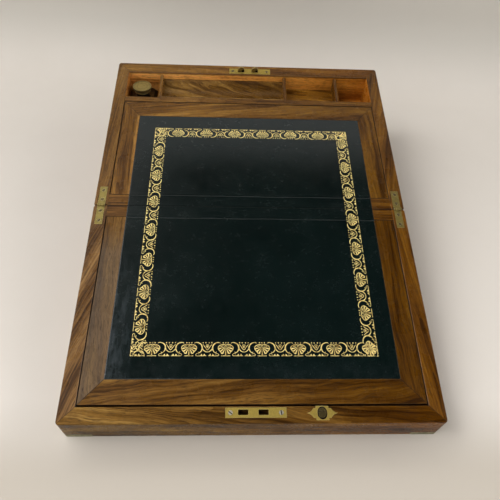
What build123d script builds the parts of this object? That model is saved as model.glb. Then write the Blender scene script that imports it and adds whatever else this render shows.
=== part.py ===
from build123d import *

import os
from math import atan2, cos, isclose, sin, tan

os.makedirs("parts", exist_ok=True)

# A writing slope lying open on a table. X runs to the right, Y away from the writer and Z up, in
# millimetres, and the origin is on the table under the fold. The base, with the pen tray, stands at
# +Y. The lid, which folds over onto it, lies at -Y with its outside down. Both rims lie in one
# sloping plane, and every "depth" below is measured square to that plane, downwards from the rim.

# ---------- the two halves ----------
width = 350.0
half_depth = 230.0  # from the fold to the outer face of each half
fold_height = 68.0  # height of both rims at the fold
rise = 35.0  # climb of the rim from the fold to the back, and its fall to the front
wall = 15.0  # side, back and front walls
fold_wall = 14.6  # the two walls that meet at the fold, measured from the fold line
fold_gap = 0.4  # between those two walls when the box is open
shut_gap = 0.3  # between the two rims when the box is shut
rim_bevel = 0.6  # eased edges of the rim
base_fold_round = 1.5  # upright corners of the base beside the fold
lid_fold_round = 3.0  # upright corners of the lid beside the fold
end_round = 3.0  # upright corners at the outer ends
bottom_board = 7.0
top_board = 8.0

# ---------- flaps, leather and the ledges under them ----------
flap = 6.0
flap_recess = 0.4  # the flaps and fold walls lie this far below the rim
banding = 0.7  # walnut veneer round each flap
leather = 0.6
side_margin = 20.8  # banding between the side of a flap and the leather
back_margin = 23.5
front_margin = 22.2
flap_side_gap = 1.0
flap_back_gap = 1.2
flap_front_gap = 1.8
crease_gap = 0.4  # between a flap and its fold wall, bridged by the leather
ledge = 8.0
ledge_clearance = 0.1

# ---------- pen tray, wells and dividers ----------
tray_width = 45.0  # from the partition to the lining of the back wall
partition = 8.0
divider = 4.0
divider_round = 1.2  # along the two edges of a divider's top
divider_end = 1.8  # at the two ends of its top
divider_drop = 1.2  # of its top below the rim
well_width = 41.5
well_depth = 28.0  # below the rim at the partition
nib_box_width = 65.0
nib_box_depth = 13.5
lining = 2.0
lining_drop = 0.3
till_board = 4.0
tray_front_drop = 0.6
tray_back_drop = 9.0
scoop_depth = 10.5
tray_edge = 2.0

# ---------- main hinges ----------
hinge_inset = 8.0  # from the outer face of a side wall to the middle of the leaf
leaf_width = 8.0
leaf_length = 25.0
leaf = 1.4
knuckle_radius = 1.8
lid_knuckle = 2.6
knuckle_gap = 0.2  # between neighbouring knuckles
knuckle_clearance = 0.3  # round the knuckles, in the wood
pin_radius = 0.9
pin_clearance = 0.05
near_screw = 7.5  # screws of a leaf, from the fold
far_screw = 20.0

# ---------- screws ----------
head_radius = 2.0
head_height = 1.0
slot_width = 0.9
slot_depth = 0.6
screw_clearance = 0.15
plate_clearance = 0.25  # between a brass plate or leaf and the wood round it

# ---------- lock and its striking plate ----------
lock_x = 1.0
lock_plate_length = 55.0
lock_plate_width = 9.6
strike_width = 8.8
strike_inset = 5.6  # from the inside of the front wall to the middle of the plate
lock_plate = 1.6
lock_screw_inset = 4.6  # from the end of a plate to its screw
case_inset = 7.5  # from the end of the lock plate to the end of the case under it
case_width = 7.2
case_depth = 26.0
case_wall = 1.2
hook_inset = 5.3  # from the inside of the back wall to the middle of the hooks
hook_centre = -1.35
hook_spread = 3.0  # the lock plate is this many times as long as the hooks are apart
hook_radius = 4.3
hook = 2.4  # thickness of the hooks and their bar
hook_height = 6.2
notch_height = 3.0
stem_width = 4.7
hook_travel = 3.5
hook_slot = 4.8  # width of the slots in the lock plate
strike_slot = 4.8  # width of the slots in the striking plate
slot_clearance = 0.3
bar_drop = 2.4
bar_clearance = 0.5  # between the bar and either end of the case
bar_height = 8.0
hook_pocket = 7.0
pocket_width = 6.8
keyhole_radius = 2.2
keyhole_slot = 1.6
keyhole_length = 6.5
keyhole_drop = 17.0  # below the rim of the back wall
drill_pin_radius = 0.9
escutcheon_width = 11.0
escutcheon_height = 17.0
escutcheon = 1.0

# ---------- flap catch ----------
catch_x = 61.0
catch_inset = 6.2  # from the inside of the front wall to the middle of the catch plate
catch_plate = 1.5
catch_half_length = 14.2
catch_half_width = 6.2
catch_block = 5.8  # half length of the plate's middle block
shoulder_x = 8.0
shoulder_y = 4.2
window_length = 9.2
window_width = 11.4
button_length = 7.0
button_width = 8.4
button_shift = 0.3  # from the middle of the window to the middle of the button, towards the flap
button_groove = 1.3  # from the middle of the button to the groove cut in it
button_sink = 0.2
slide_width = 7.6
slide = 1.2
slide_tail = 11.0  # from the inside of the front wall to the slide's hidden end
slide_clearance = 0.15
catch_travel = 1.5
tongue_bite = 1.2  # how far the tongue reaches into the flap
lug = 1.4
lug_width = 4.0
lug_drop = 3.4
lug_inset = 3.6
spring_strip = 0.3
spring_height = 2.0
spring_bow = 1.2
spring_gap = 0.1

# ---------- brass corners ----------
corner = 26.0
corner_height = 5.6
corner_sheet = 0.8
corner_bite = 15.0

# ---------- inkwell ----------
bottle = 36.0
bottle_chamfer = 5.0
bottle_body = 11.5
shoulder = 3.5
glass = 3.0
neck_radius = 8.5
neck_bore = 5.5
neck_height = 10.9
bottle_side_gap = 0.5
bottle_back_gap = 2.5
collar_radius = 10.4
collar_height = 1.3
collar_lift = 5.9  # from the shoulder to the collar
cap_radius = 12.0
cap_rim = 1.2  # depth of the cap's wide edge below the neck's top
cap_skirt = 3.0
cap_skirt_radius = 10.2
cap_top = 1.6
cap_lip = 1.3  # width of the raised lip round its top
cap_dish = 0.4  # depth of the top inside the lip
cap_clearance = 0.3

# ---------- worked out from the sizes above ----------
slope = atan2(rise, half_depth)
back_height = fold_height + rise
inner_x = width / 2 - wall
inner_y = half_depth - wall
fold_face = fold_gap / 2
leather_bed = flap_recess + banding
leather_top = leather_bed - leather
flap_bottom = flap_recess + flap
ledge_top = flap_bottom + ledge_clearance
ledge_bottom = ledge_top + ledge
lining_face = inner_y - lining
partition_back = lining_face - tray_width
partition_front = partition_back - partition
flap_half = inner_x - flap_side_gap
flap_fold = fold_wall + crease_gap
flap_back = partition_front - flap_back_gap
flap_front = inner_y - flap_front_gap
leather_half = flap_half - side_margin
leather_back = flap_back - back_margin
leather_front = flap_front - front_margin
till_floor = fold_height + partition_back * tan(slope) - well_depth
nib_floor = fold_height + partition_back * tan(slope) - nib_box_depth
left_divider = -inner_x + well_width
right_divider = inner_x - well_width - divider
middle_divider = right_divider - nib_box_width - divider
tray_front = fold_height + partition_back * tan(slope) - tray_front_drop
tray_back = fold_height + lining_face * tan(slope) - tray_back_drop
tray_low = fold_height + partition_back * tan(slope) - scoop_depth
rim_plane = Plane(origin=(0, 0, fold_height), x_dir=(1, 0, 0), z_dir=(0, -sin(slope), cos(slope)))


def along(y):
    """Distance along the slope of the rim for a level distance y from the fold."""
    return y / cos(slope)


def rim_z(y):
    """Height of the rim above the table at a level distance y from the fold."""
    return fold_height + y * tan(slope)


def rim_place(x, y, depth=0.0):
    """A place on the rim, or at a depth below it, with its own Z square to the rim."""
    return rim_plane.offset(-depth).location * Location((x, along(y), 0))


def oblong(left, right, near, far):
    """The four corners of a plan rectangle."""
    return [(left, near), (right, near), (right, far), (left, far)]


def sloped_prism(corners, top, bottom):
    """An upright prism on a plan outline, cut off by the rim's slope at two depths."""
    with BuildPart() as prism:
        with BuildSketch():
            with BuildLine():
                Polyline(*corners, close=True)
            make_face()
        extrude(amount=back_height)
        split(bisect_by=rim_plane.offset(-top), keep=Keep.BOTTOM)
        split(bisect_by=rim_plane.offset(-bottom), keep=Keep.TOP)
    return prism.part


def floor_prism(corners, floor, top):
    """An upright prism on a plan outline, from a level floor to a depth below the rim."""
    with BuildPart() as prism:
        with BuildSketch(Plane.XY.offset(floor)):
            with BuildLine():
                Polyline(*corners, close=True)
            make_face()
        extrude(amount=back_height)
        split(bisect_by=rim_plane.offset(-top), keep=Keep.BOTTOM)
    return prism.part


def rim_block(x, y, size_x, size_y, top, bottom):
    """A block square to the rim, centred over a point, between two depths."""
    with BuildPart() as block:
        with BuildSketch(rim_plane.offset(-bottom)):
            with Locations((x, along(y))):
                Rectangle(size_x, size_y)
        extrude(amount=bottom - top)
    return block.part


def level_board(left, right, near, far, bottom, top):
    """A flat board between two heights above the table."""
    with BuildPart() as flat:
        with BuildSketch(Plane.XY.offset(bottom)):
            with Locations(((left + right) / 2, (near + far) / 2)):
                Rectangle(right - left, far - near)
        extrude(amount=top - bottom)
    return flat.part


def on_rim(edge):
    """True for an edge that lies in the plane of the rim."""
    return all(abs(rim_plane.to_local_coords(edge @ t).Z) < 1e-4 for t in (0, 0.5, 1))


pieces = {}

# ---------- screws, all alike: a slotted head let in flush; the shank in the wood is left out ----------
with BuildPart() as screw_head:
    with BuildSketch():
        Circle(head_radius)
    extrude(amount=-head_height)
    Box(2 * head_radius, slot_width, 2 * slot_depth, mode=Mode.SUBTRACT)

with BuildPart() as screw_seat:
    with BuildSketch():
        Circle(head_radius + screw_clearance)
    extrude(amount=-head_height)

hinge_x = {"left": -(width / 2 - hinge_inset), "right": width / 2 - hinge_inset}
leaf_screws = {
    (side, half): [(x, sign * near_screw), (x, sign * far_screw)]
    for side, x in hinge_x.items()
    for half, sign in (("base", 1), ("lid", -1))
}
strike_y = -(inner_y + strike_inset)
lock_y = inner_y + lock_plate_width / 2
hook_y = inner_y + hook_inset
lock_screw_x = [lock_x + sign * (lock_plate_length / 2 - lock_screw_inset) for sign in (-1, 1)]
lock_screws_at = [(x, lock_y) for x in lock_screw_x]
strike_screws_at = [(x, strike_y) for x in lock_screw_x]


def screws_at(spots, angle):
    """A set of screws in the rim, all with their slots turned by one angle."""
    with BuildPart() as group:
        for number, (x, y) in enumerate(spots):
            add(screw_head.part.moved(rim_place(x, y) * Rotation(0, 0, angle * (number + 1))))
    return group


def seats_at(spots):
    """The holes for a set of screws in the rim."""
    return [screw_seat.part.moved(rim_place(x, y)) for x, y in spots]


# ---------- main hinges: leaves let into the side walls, on a pin over the fold ----------
pin_height = fold_height + shut_gap / 2
outer_knuckle = (leaf_width - lid_knuckle) / 2 - knuckle_gap
hinge_line = Plane(origin=(0, 0, pin_height), x_dir=(0, 1, 0), z_dir=(1, 0, 0))
knuckle_spans = {
    "base": [(-leaf_width / 2, outer_knuckle), (leaf_width / 2 - outer_knuckle, outer_knuckle)],
    "lid": [(-lid_knuckle / 2, lid_knuckle)],
}


def hinge_rod(x, length, radius):
    """A rod along the hinge line, from x."""
    with BuildPart() as rod:
        with BuildSketch(hinge_line.offset(x)):
            Circle(radius)
        extrude(amount=length)
    return rod.part


def hinge_leaf(x, half):
    """One leaf, flush with the rim, with the knuckles of its own half rolled round the pin."""
    sign = 1 if half == "base" else -1
    clear = knuckle_radius + knuckle_clearance
    bore = pin_radius + (pin_clearance if half == "lid" else pin_clearance / 5)
    with BuildPart() as plate:
        middle = sign * (clear + leaf_length) / 2
        add(rim_block(x, middle * cos(slope), leaf_width, leaf_length - clear, 0, leaf))
        for start, length in knuckle_spans[half]:
            tab = x + start + length / 2
            add(rim_block(tab, sign * clear / 2 * cos(slope), length, clear, 0, leaf))
            add(hinge_rod(x + start, length, knuckle_radius))
        add(hinge_rod(x - leaf_width, 2 * leaf_width, bore), mode=Mode.SUBTRACT)
    return plate


def leaf_bed(x, half):
    """The recess that a leaf and the knuckles need in the wood."""
    sign = 1 if half == "base" else -1
    with BuildPart() as bed:
        middle = sign * leaf_length / 2 * cos(slope)
        bed_width = leaf_width + 2 * plate_clearance
        bed_length = leaf_length + 2 * plate_clearance
        add(rim_block(x, middle, bed_width, bed_length, -rim_bevel, leaf))
        add(
            hinge_rod(
                x - leaf_width / 2 - knuckle_gap,
                leaf_width + 2 * knuckle_gap,
                knuckle_radius + knuckle_clearance,
            )
        )
    return bed.part


for side, x in hinge_x.items():
    for half in ("base", "lid"):
        plate = hinge_leaf(x, half)
        with BuildPart() as hinge_plate:
            add(plate)
            add(seats_at(leaf_screws[side, half]), mode=Mode.SUBTRACT)
        pieces[f"{half}_hinge_leaf_{side}"] = hinge_plate

with BuildPart() as hinge_pins:
    for x in hinge_x.values():
        add(hinge_rod(x - leaf_width / 2, leaf_width, pin_radius))
pieces["hinge_pins"] = hinge_pins

for half in ("base", "lid"):
    spots = leaf_screws["left", half] + leaf_screws["right", half]
    pieces[f"{half}_hinge_screws"] = screws_at(spots, 31)

# ---------- brass corners on the outside of the lid, which is underneath here ----------
with BuildPart() as corner_caps:
    lid_middle = -(half_depth + fold_face) / 2
    lid_length = half_depth - fold_face
    with BuildSketch() as outline:
        with Locations((0, lid_middle)):
            Rectangle(width, lid_length)
        fillet(outline.vertices().filter_by(lambda v: isclose(v.Y, -fold_face)), lid_fold_round)
        fillet(outline.vertices().filter_by(lambda v: isclose(v.Y, -half_depth)), end_round)
    extrude(amount=corner_height)
    with BuildSketch(Plane.XY.offset(corner_sheet)):
        with Locations((0, lid_middle)):
            Rectangle(width - 2 * corner_sheet, lid_length - 2 * corner_sheet)
    extrude(amount=corner_height, mode=Mode.SUBTRACT)
    with BuildSketch() as quarters:
        for x in (-width / 2, width / 2):
            for y in (-fold_face, -half_depth):
                step_x = -corner / 2 if x > 0 else corner / 2
                step_y = -corner / 2 if y > -half_depth / 2 else corner / 2
                with Locations((x + step_x, y + step_y)):
                    Rectangle(corner, corner)
                with Locations((x + 2 * step_x, y + 2 * step_y)):
                    Circle(corner_bite, mode=Mode.SUBTRACT)
    extrude(amount=corner_height, mode=Mode.INTERSECT)
pieces["corner_caps"] = corner_caps


# ---------- walls of both halves ----------
def half_frame(fold_y, end_y, inner_end, fold_round, bottom):
    """Side and end walls of one half in one piece, with rounded corners and an eased rim."""
    with BuildPart() as frame:
        with BuildSketch(Plane.XY.offset(bottom)) as plan:
            with Locations((0, (fold_y + end_y) / 2)):
                Rectangle(width, abs(end_y - fold_y))
            fillet(plan.vertices().filter_by(lambda v: isclose(v.Y, fold_y)), fold_round)
            fillet(plan.vertices().filter_by(lambda v: isclose(v.Y, end_y)), end_round)
            with Locations((0, (fold_y + inner_end) / 2)):
                Rectangle(2 * inner_x, abs(inner_end - fold_y), mode=Mode.SUBTRACT)
        extrude(amount=back_height)
        split(bisect_by=rim_plane, keep=Keep.BOTTOM)
        chamfer(frame.edges().filter_by(on_rim), rim_bevel)
    return frame.part


def wall_piece(frame, corners):
    """The part of a frame that stands on a plan outline, so that the corners are mitred."""
    with BuildPart() as piece:
        with BuildSketch():
            with BuildLine():
                Polyline(*corners, close=True)
            make_face()
        extrude(amount=2 * back_height)
        add(frame, mode=Mode.INTERSECT)
    return piece.part


base_frame = half_frame(fold_face, half_depth, inner_y, base_fold_round, 0)
lid_frame = half_frame(-fold_face, -half_depth, -inner_y, lid_fold_round, corner_sheet)

for half, frame, sign in (("base", base_frame, 1), ("lid", lid_frame, -1)):
    for side, x in hinge_x.items():
        turn = -1 if side == "left" else 1
        plan = [
            (turn * width / 2, sign * fold_face),
            (turn * inner_x, sign * fold_face),
            (turn * inner_x, sign * inner_y),
            (turn * width / 2, sign * half_depth),
        ]
        with BuildPart() as side_wall:
            add(wall_piece(frame, plan))
            add(leaf_bed(x, half), mode=Mode.SUBTRACT)
            if half == "lid":
                add(corner_caps.part, mode=Mode.SUBTRACT)
        pieces[f"{half}_{side}_wall"] = side_wall


def fold_board(near, far, bottom):
    """A fold wall between the side walls, with a shallow bed for the leather that crosses it."""
    with BuildPart() as board:
        add(floor_prism(oblong(-inner_x, inner_x, near, far), bottom, flap_recess))
        add(
            rim_block(0, (near + far) / 2, 2 * leather_half, 2 * fold_wall, 0, leather_bed),
            mode=Mode.SUBTRACT,
        )
    return board.part


with BuildPart() as base_fold_wall:
    add(fold_board(fold_face, fold_wall, 0))
pieces["base_fold_wall"] = base_fold_wall

with BuildPart() as lid_fold_wall:
    add(fold_board(-fold_wall, -fold_face, corner_sheet))
    add(corner_caps.part, mode=Mode.SUBTRACT)
pieces["lid_fold_wall"] = lid_fold_wall

with BuildPart() as base_bottom:
    add(level_board(-inner_x, inner_x, fold_wall, inner_y, 0, bottom_board))
pieces["base_bottom"] = base_bottom

with BuildPart() as lid_top_board:
    board_top = corner_sheet + top_board
    add(level_board(-inner_x, inner_x, -inner_y, -fold_wall, corner_sheet, board_top))
pieces["lid_top_board"] = lid_top_board

# ---------- ledges that the flaps rest on ----------
for half, sign, end in (("base", 1, partition_front), ("lid", -1, inner_y)):
    for side, turn in (("left", -1), ("right", 1)):
        x_edges = sorted((turn * inner_x, turn * (inner_x - ledge)))
        y_edges = sorted((sign * fold_wall, sign * (end - ledge)))
        with BuildPart() as side_ledge:
            add(sloped_prism(oblong(*x_edges, *y_edges), ledge_top, ledge_bottom))
        pieces[f"{half}_ledge_{side}"] = side_ledge
    y_edges = sorted((sign * end, sign * (end - ledge)))
    with BuildPart() as end_ledge:
        add(sloped_prism(oblong(-inner_x, inner_x, *y_edges), ledge_top, ledge_bottom))
    pieces["base_ledge_back" if half == "base" else "lid_ledge_front"] = end_ledge

# ---------- the pen tray, its wells and their dividers ----------
with BuildPart() as tray_partition:
    under_till = till_floor - till_board
    add(floor_prism(oblong(-inner_x, inner_x, partition_front, partition_back), under_till, 0))
    long_edges = tray_partition.edges().filter_by(on_rim).filter_by(Axis.X)
    chamfer(long_edges, rim_bevel)
pieces["tray_partition"] = tray_partition

with BuildPart() as till_board_part:
    add(level_board(-inner_x, inner_x, partition_back, inner_y, till_floor - till_board, till_floor))
pieces["till_floor"] = till_board_part

with BuildPart() as back_lining:
    add(floor_prism(oblong(-inner_x, inner_x, lining_face, inner_y), till_floor, lining_drop))
pieces["back_lining"] = back_lining

for name, left in (("left", left_divider), ("middle", middle_divider), ("right", right_divider)):
    with BuildPart() as upright:
        with BuildSketch(Plane.YZ.offset(left)) as profile:
            with BuildLine():
                near_top = (partition_back, rim_z(partition_back) - divider_drop)
                far_top = (lining_face, rim_z(lining_face) - divider_drop)
                Polyline(
                    (partition_back, till_floor),
                    near_top,
                    far_top,
                    (lining_face, till_floor),
                    close=True,
                )
            make_face()
            chamfer(profile.vertices().sort_by(Axis.Y)[2:], divider_end)
        extrude(amount=divider)
        long_edges = upright.edges().filter_by(Axis.X, reverse=True)
        long_edges = long_edges.filter_by(Axis.Z, reverse=True)
        chamfer(long_edges.sort_by(Axis.Z)[2:], divider_round)
    pieces[f"divider_{name}"] = upright

with BuildPart() as compartment_floor:
    add(
        level_board(
            middle_divider + divider,
            right_divider,
            partition_back,
            lining_face,
            till_floor,
            nib_floor,
        )
    )
pieces["compartment_floor"] = compartment_floor

with BuildPart() as pen_tray:
    with BuildSketch(Plane.YZ.offset(left_divider + divider)):
        with BuildLine():
            front_lip = (partition_back + tray_edge, tray_front)
            back_lip = (lining_face - tray_edge, tray_back)
            lowest = (partition_back + tray_width / 2, tray_low)
            Polyline(
                back_lip,
                (lining_face, tray_back),
                (lining_face, till_floor),
                (partition_back, till_floor),
                (partition_back, tray_front),
                front_lip,
            )
            ThreePointArc(front_lip, lowest, back_lip)
        make_face()
    extrude(amount=middle_divider - left_divider - divider)
pieces["pen_tray"] = pen_tray


# ---------- the flaps, with their banding and leather, and the leather over the fold ----------
def flap_plan(half_side, near, far, sign):
    """Plan corners of something that reaches from near to far on one side of the fold."""
    return oblong(-half_side, half_side, *sorted((sign * near, sign * far)))


def leather_sheet(near, far, sign):
    """A flat length of the leather, laid in the bed between the bandings."""
    with BuildPart() as sheet:
        add(sloped_prism(flap_plan(leather_half, near, far, sign), leather_top, leather_bed))
    return sheet


catch_y = -(inner_y + catch_inset)
window_y = catch_y + (catch_inset - window_width / 2 - flap_recess)
button_y = window_y + button_shift
tongue_top = catch_plate + slide_clearance
tongue_tip = flap_front - tongue_bite

for name, sign, end, leather_end in (
    ("upper", 1, flap_back, leather_back),
    ("lower", -1, flap_front, leather_front),
):
    with BuildPart() as panel:
        add(sloped_prism(flap_plan(flap_half, flap_fold, end, sign), leather_bed, flap_bottom))
        if name == "lower":
            mortise_end = end - tongue_bite - flap_recess
            mortise_width = slide_width + 2 * flap_recess
            mortise = oblong(
                catch_x - mortise_width / 2, catch_x + mortise_width / 2, -end, -mortise_end
            )
            mortise_bottom = tongue_top + slide + flap_recess
            add(sloped_prism(mortise, leather_bed, mortise_bottom), mode=Mode.SUBTRACT)
    pieces[f"{name}_flap_panel"] = panel

    with BuildPart() as veneer:
        add(sloped_prism(flap_plan(flap_half, flap_fold, end, sign), flap_recess, leather_bed))
        opening = flap_plan(leather_half, 0, leather_end, sign)
        add(sloped_prism(opening, 0, 2 * leather_bed), mode=Mode.SUBTRACT)
    pieces[f"{name}_flap_banding"] = veneer
    pieces[f"{name}_flap_leather"] = leather_sheet(flap_fold, leather_end, sign)

pieces["base_strip_leather"] = leather_sheet(fold_face, fold_wall, 1)
pieces["lid_strip_leather"] = leather_sheet(fold_face, fold_wall, -1)

# ---------- the lock: two hooks on a sliding bar, thrown to the right by the key ----------
hook_spacing = lock_plate_length / hook_spread
hooks_x = [hook_centre - hook_spacing / 2, hook_centre + hook_spacing / 2]
hook_plane = Plane(
    origin=rim_place(0, hook_y).position,
    x_dir=(1, 0, 0),
    z_dir=(0, -cos(slope), -sin(slope)),
)
key_plane = Plane(
    origin=rim_place(lock_x, hook_y, keyhole_drop).position,
    x_dir=(-1, 0, 0),
    z_dir=(0, cos(slope), sin(slope)),
)
stem_left = -hook_radius
stem_right = stem_left + stem_width
case_length = lock_plate_length - 2 * case_inset
case_bottom = lock_plate + case_depth
bar_left = lock_x - case_length / 2 + case_wall + bar_clearance
bar_right = lock_x + case_length / 2 - case_wall - bar_clearance - hook_travel

with BuildPart() as hook_bolt:
    with BuildSketch(hook_plane):
        for x in hooks_x:
            with Locations((x, hook_height - hook_radius)):
                Circle(hook_radius)
            with Locations((x + stem_right, notch_height)):
                Rectangle(
                    2 * hook_radius,
                    2 * hook_radius,
                    align=(Align.MIN, Align.MAX),
                    mode=Mode.SUBTRACT,
                )
            with Locations((x + stem_left, hook_height - hook_radius)):
                stem_height = hook_height - hook_radius + bar_drop + bar_height / 2
                Rectangle(stem_width, stem_height, align=(Align.MIN, Align.MAX))
        with Locations((bar_left, -bar_drop)):
            Rectangle(bar_right - bar_left, bar_height, align=(Align.MIN, Align.MAX))
        with Locations((lock_x - hook_travel / 2, -bar_drop - bar_height)):
            Circle(bar_height / 2.5, mode=Mode.SUBTRACT)
    extrude(amount=hook / 2, both=True)
pieces["hook_bolt"] = hook_bolt


def key_opening():
    """The way in for the key, through the outer face of the wall into the lock."""
    with BuildPart() as way:
        with BuildSketch(key_plane.offset(case_width / 2 - case_wall - slot_clearance)):
            Circle(keyhole_radius)
            Rectangle(keyhole_slot, keyhole_length, align=(Align.CENTER, Align.MAX))
        extrude(amount=wall)
    return way.part


key_way = key_opening()

with BuildPart() as lock_case:
    add(rim_block(lock_x, hook_y, case_length, case_width, lock_plate, case_bottom))
    room_length = case_length - 2 * case_wall
    room_width = case_width - 2 * case_wall
    room = rim_block(lock_x, hook_y, room_length, room_width, lock_plate, case_bottom - case_wall)
    add(room, mode=Mode.SUBTRACT)
    add(key_way, mode=Mode.SUBTRACT)
    with BuildSketch(key_plane.offset(-case_width / 2)):
        Circle(drill_pin_radius)
    extrude(amount=case_width)
pieces["lock_case"] = lock_case

with BuildPart() as lock_face:
    add(rim_block(lock_x, lock_y, lock_plate_length, lock_plate_width, 0, lock_plate))
    for x in hooks_x:
        reach = stem_width + hook_travel + 2 * slot_clearance
        middle = x + stem_left - slot_clearance + reach / 2
        add(rim_block(middle, hook_y, reach, hook_slot, -1, 2 * lock_plate), mode=Mode.SUBTRACT)
    add(seats_at(lock_screws_at), mode=Mode.SUBTRACT)
pieces["lock_plate"] = lock_face
pieces["lock_screws"] = screws_at(lock_screws_at, 47)

# The keyhole and its flush plate are in the back of the box, at the height of the key's way in.
key_reach = (half_depth - key_plane.origin.Y) / cos(slope)
key_height = key_plane.origin.Z + key_reach * sin(slope)
plate_height = key_height - (keyhole_length - keyhole_radius) / 2
with BuildPart() as escutcheon_blank:
    with BuildSketch(Plane.XZ.offset(-half_depth)):
        with Locations((lock_x, plate_height)):
            SlotOverall(escutcheon_height, escutcheon_width, rotation=90)
    extrude(amount=escutcheon)

with BuildPart() as keyhole_escutcheon:
    add(escutcheon_blank.part)
    add(key_way, mode=Mode.SUBTRACT)
pieces["keyhole_escutcheon"] = keyhole_escutcheon

with BuildPart() as base_back_wall:
    add(
        wall_piece(
            base_frame,
            [
                (-width / 2, half_depth),
                (-inner_x, inner_y),
                (inner_x, inner_y),
                (width / 2, half_depth),
            ],
        )
    )
    bed_length = lock_plate_length + 2 * plate_clearance
    bed_width = lock_plate_width + 2 * plate_clearance
    add(rim_block(lock_x, lock_y, bed_length, bed_width, -rim_bevel, lock_plate), mode=Mode.SUBTRACT)
    mortise = rim_block(lock_x, hook_y, case_length, case_width, 0, case_bottom)
    add(mortise, mode=Mode.SUBTRACT)
    add(escutcheon_blank.part, mode=Mode.SUBTRACT)
    add(key_way, mode=Mode.SUBTRACT)
pieces["base_back_wall"] = base_back_wall

with BuildPart() as strike_plate:
    add(rim_block(lock_x, strike_y, lock_plate_length, strike_width, 0, lock_plate))
    with BuildSketch(rim_plane.offset(1)):
        for x in hooks_x:
            with Locations((x, -along(hook_y))):
                RectangleRounded(2 * hook_radius + 2 * slot_clearance, strike_slot, 1.0)
    extrude(amount=-2 * lock_plate - 1, mode=Mode.SUBTRACT)
    add(seats_at(strike_screws_at), mode=Mode.SUBTRACT)
pieces["strike_plate"] = strike_plate
pieces["strike_screws"] = screws_at(strike_screws_at, -38)


# ---------- the flap catch: a sprung slide under a shaped brass plate ----------
def catch_outline():
    """The plate's outline: a square block with a pointed ogee on either side."""
    with BuildSketch(Plane.XY) as shape:
        for turn in (-1, 1):
            with BuildLine():
                tip = (turn * catch_half_length, 0)
                upper = (turn * shoulder_x, shoulder_y)
                lower = (turn * shoulder_x, -shoulder_y)
                bend_x = turn * (shoulder_x + (catch_half_length - shoulder_x) * 0.38)
                ThreePointArc(tip, (bend_x, shoulder_y * 0.36), upper)
                Polyline(upper, (0, shoulder_y), (0, -shoulder_y), lower)
                ThreePointArc(lower, (bend_x, -shoulder_y * 0.36), tip)
            make_face()
        Rectangle(2 * catch_block, 2 * catch_half_width)
    return shape.sketch


def catch_plate_blank(top):
    """The catch plate without its window, from a depth down to the underside."""
    with BuildPart() as blank:
        with BuildSketch(rim_plane.offset(-catch_plate)):
            with Locations((catch_x, along(catch_y))):
                add(catch_outline())
        extrude(amount=catch_plate - top)
    return blank.part


slide_middle = -(tongue_tip + inner_y + slide_tail) / 2
slide_length = inner_y + slide_tail - tongue_tip
lug_y = -(inner_y + lug_inset)
spring_depth = tongue_top + slide + lug_drop - spring_height / 2 - spring_gap
spring_end = inner_y + slide_tail + catch_travel

with BuildPart() as catch_face:
    add(catch_plate_blank(0))
    with BuildSketch(rim_plane.offset(1)):
        with Locations((catch_x, along(window_y))):
            Ellipse(window_length / 2, window_width / 2)
    extrude(amount=-catch_plate - 2, mode=Mode.SUBTRACT)
pieces["catch_plate"] = catch_face

with BuildPart() as catch_slide:
    slide_bottom = tongue_top + slide
    add(rim_block(catch_x, slide_middle, slide_width, slide_length, tongue_top, slide_bottom))
    add(rim_block(catch_x, lug_y, lug_width, lug, slide_bottom, slide_bottom + lug_drop))
    with BuildSketch(rim_plane.offset(-slide_bottom)):
        with Locations((catch_x, along(button_y))):
            SlotOverall(button_width, button_length, rotation=90)
    extrude(amount=slide_bottom - button_sink)
    groove_bottom = button_sink + slot_depth
    groove_y = button_y + button_groove
    groove = rim_block(catch_x, groove_y, button_length, slot_width, 0, groove_bottom)
    add(groove, mode=Mode.SUBTRACT)
pieces["catch_slide"] = catch_slide

# A bowed strip between the lug and the far end of its pocket pushes the tongue into the flap.
bow_plane = Plane(
    origin=rim_place(catch_x, lug_y, spring_depth).position,
    x_dir=(1, 0, 0),
    z_dir=(0, -sin(slope), cos(slope)),
)
bow_start = -lug / 2 - spring_gap
bow_end = along(-spring_end - lug_y) + spring_gap
with BuildPart() as catch_spring:
    with BuildSketch(bow_plane):
        with BuildLine():
            outside = ThreePointArc(
                (-spring_bow, bow_start), (spring_bow, (bow_start + bow_end) / 2), (-spring_bow, bow_end)
            )
            inside = ThreePointArc(
                (-spring_bow - spring_strip, bow_start),
                (spring_bow - spring_strip, (bow_start + bow_end) / 2),
                (-spring_bow - spring_strip, bow_end),
            )
            Line(outside @ 0, inside @ 0)
            Line(outside @ 1, inside @ 1)
        make_face()
    extrude(amount=spring_height / 2, both=True)
pieces["catch_spring"] = catch_spring

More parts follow.
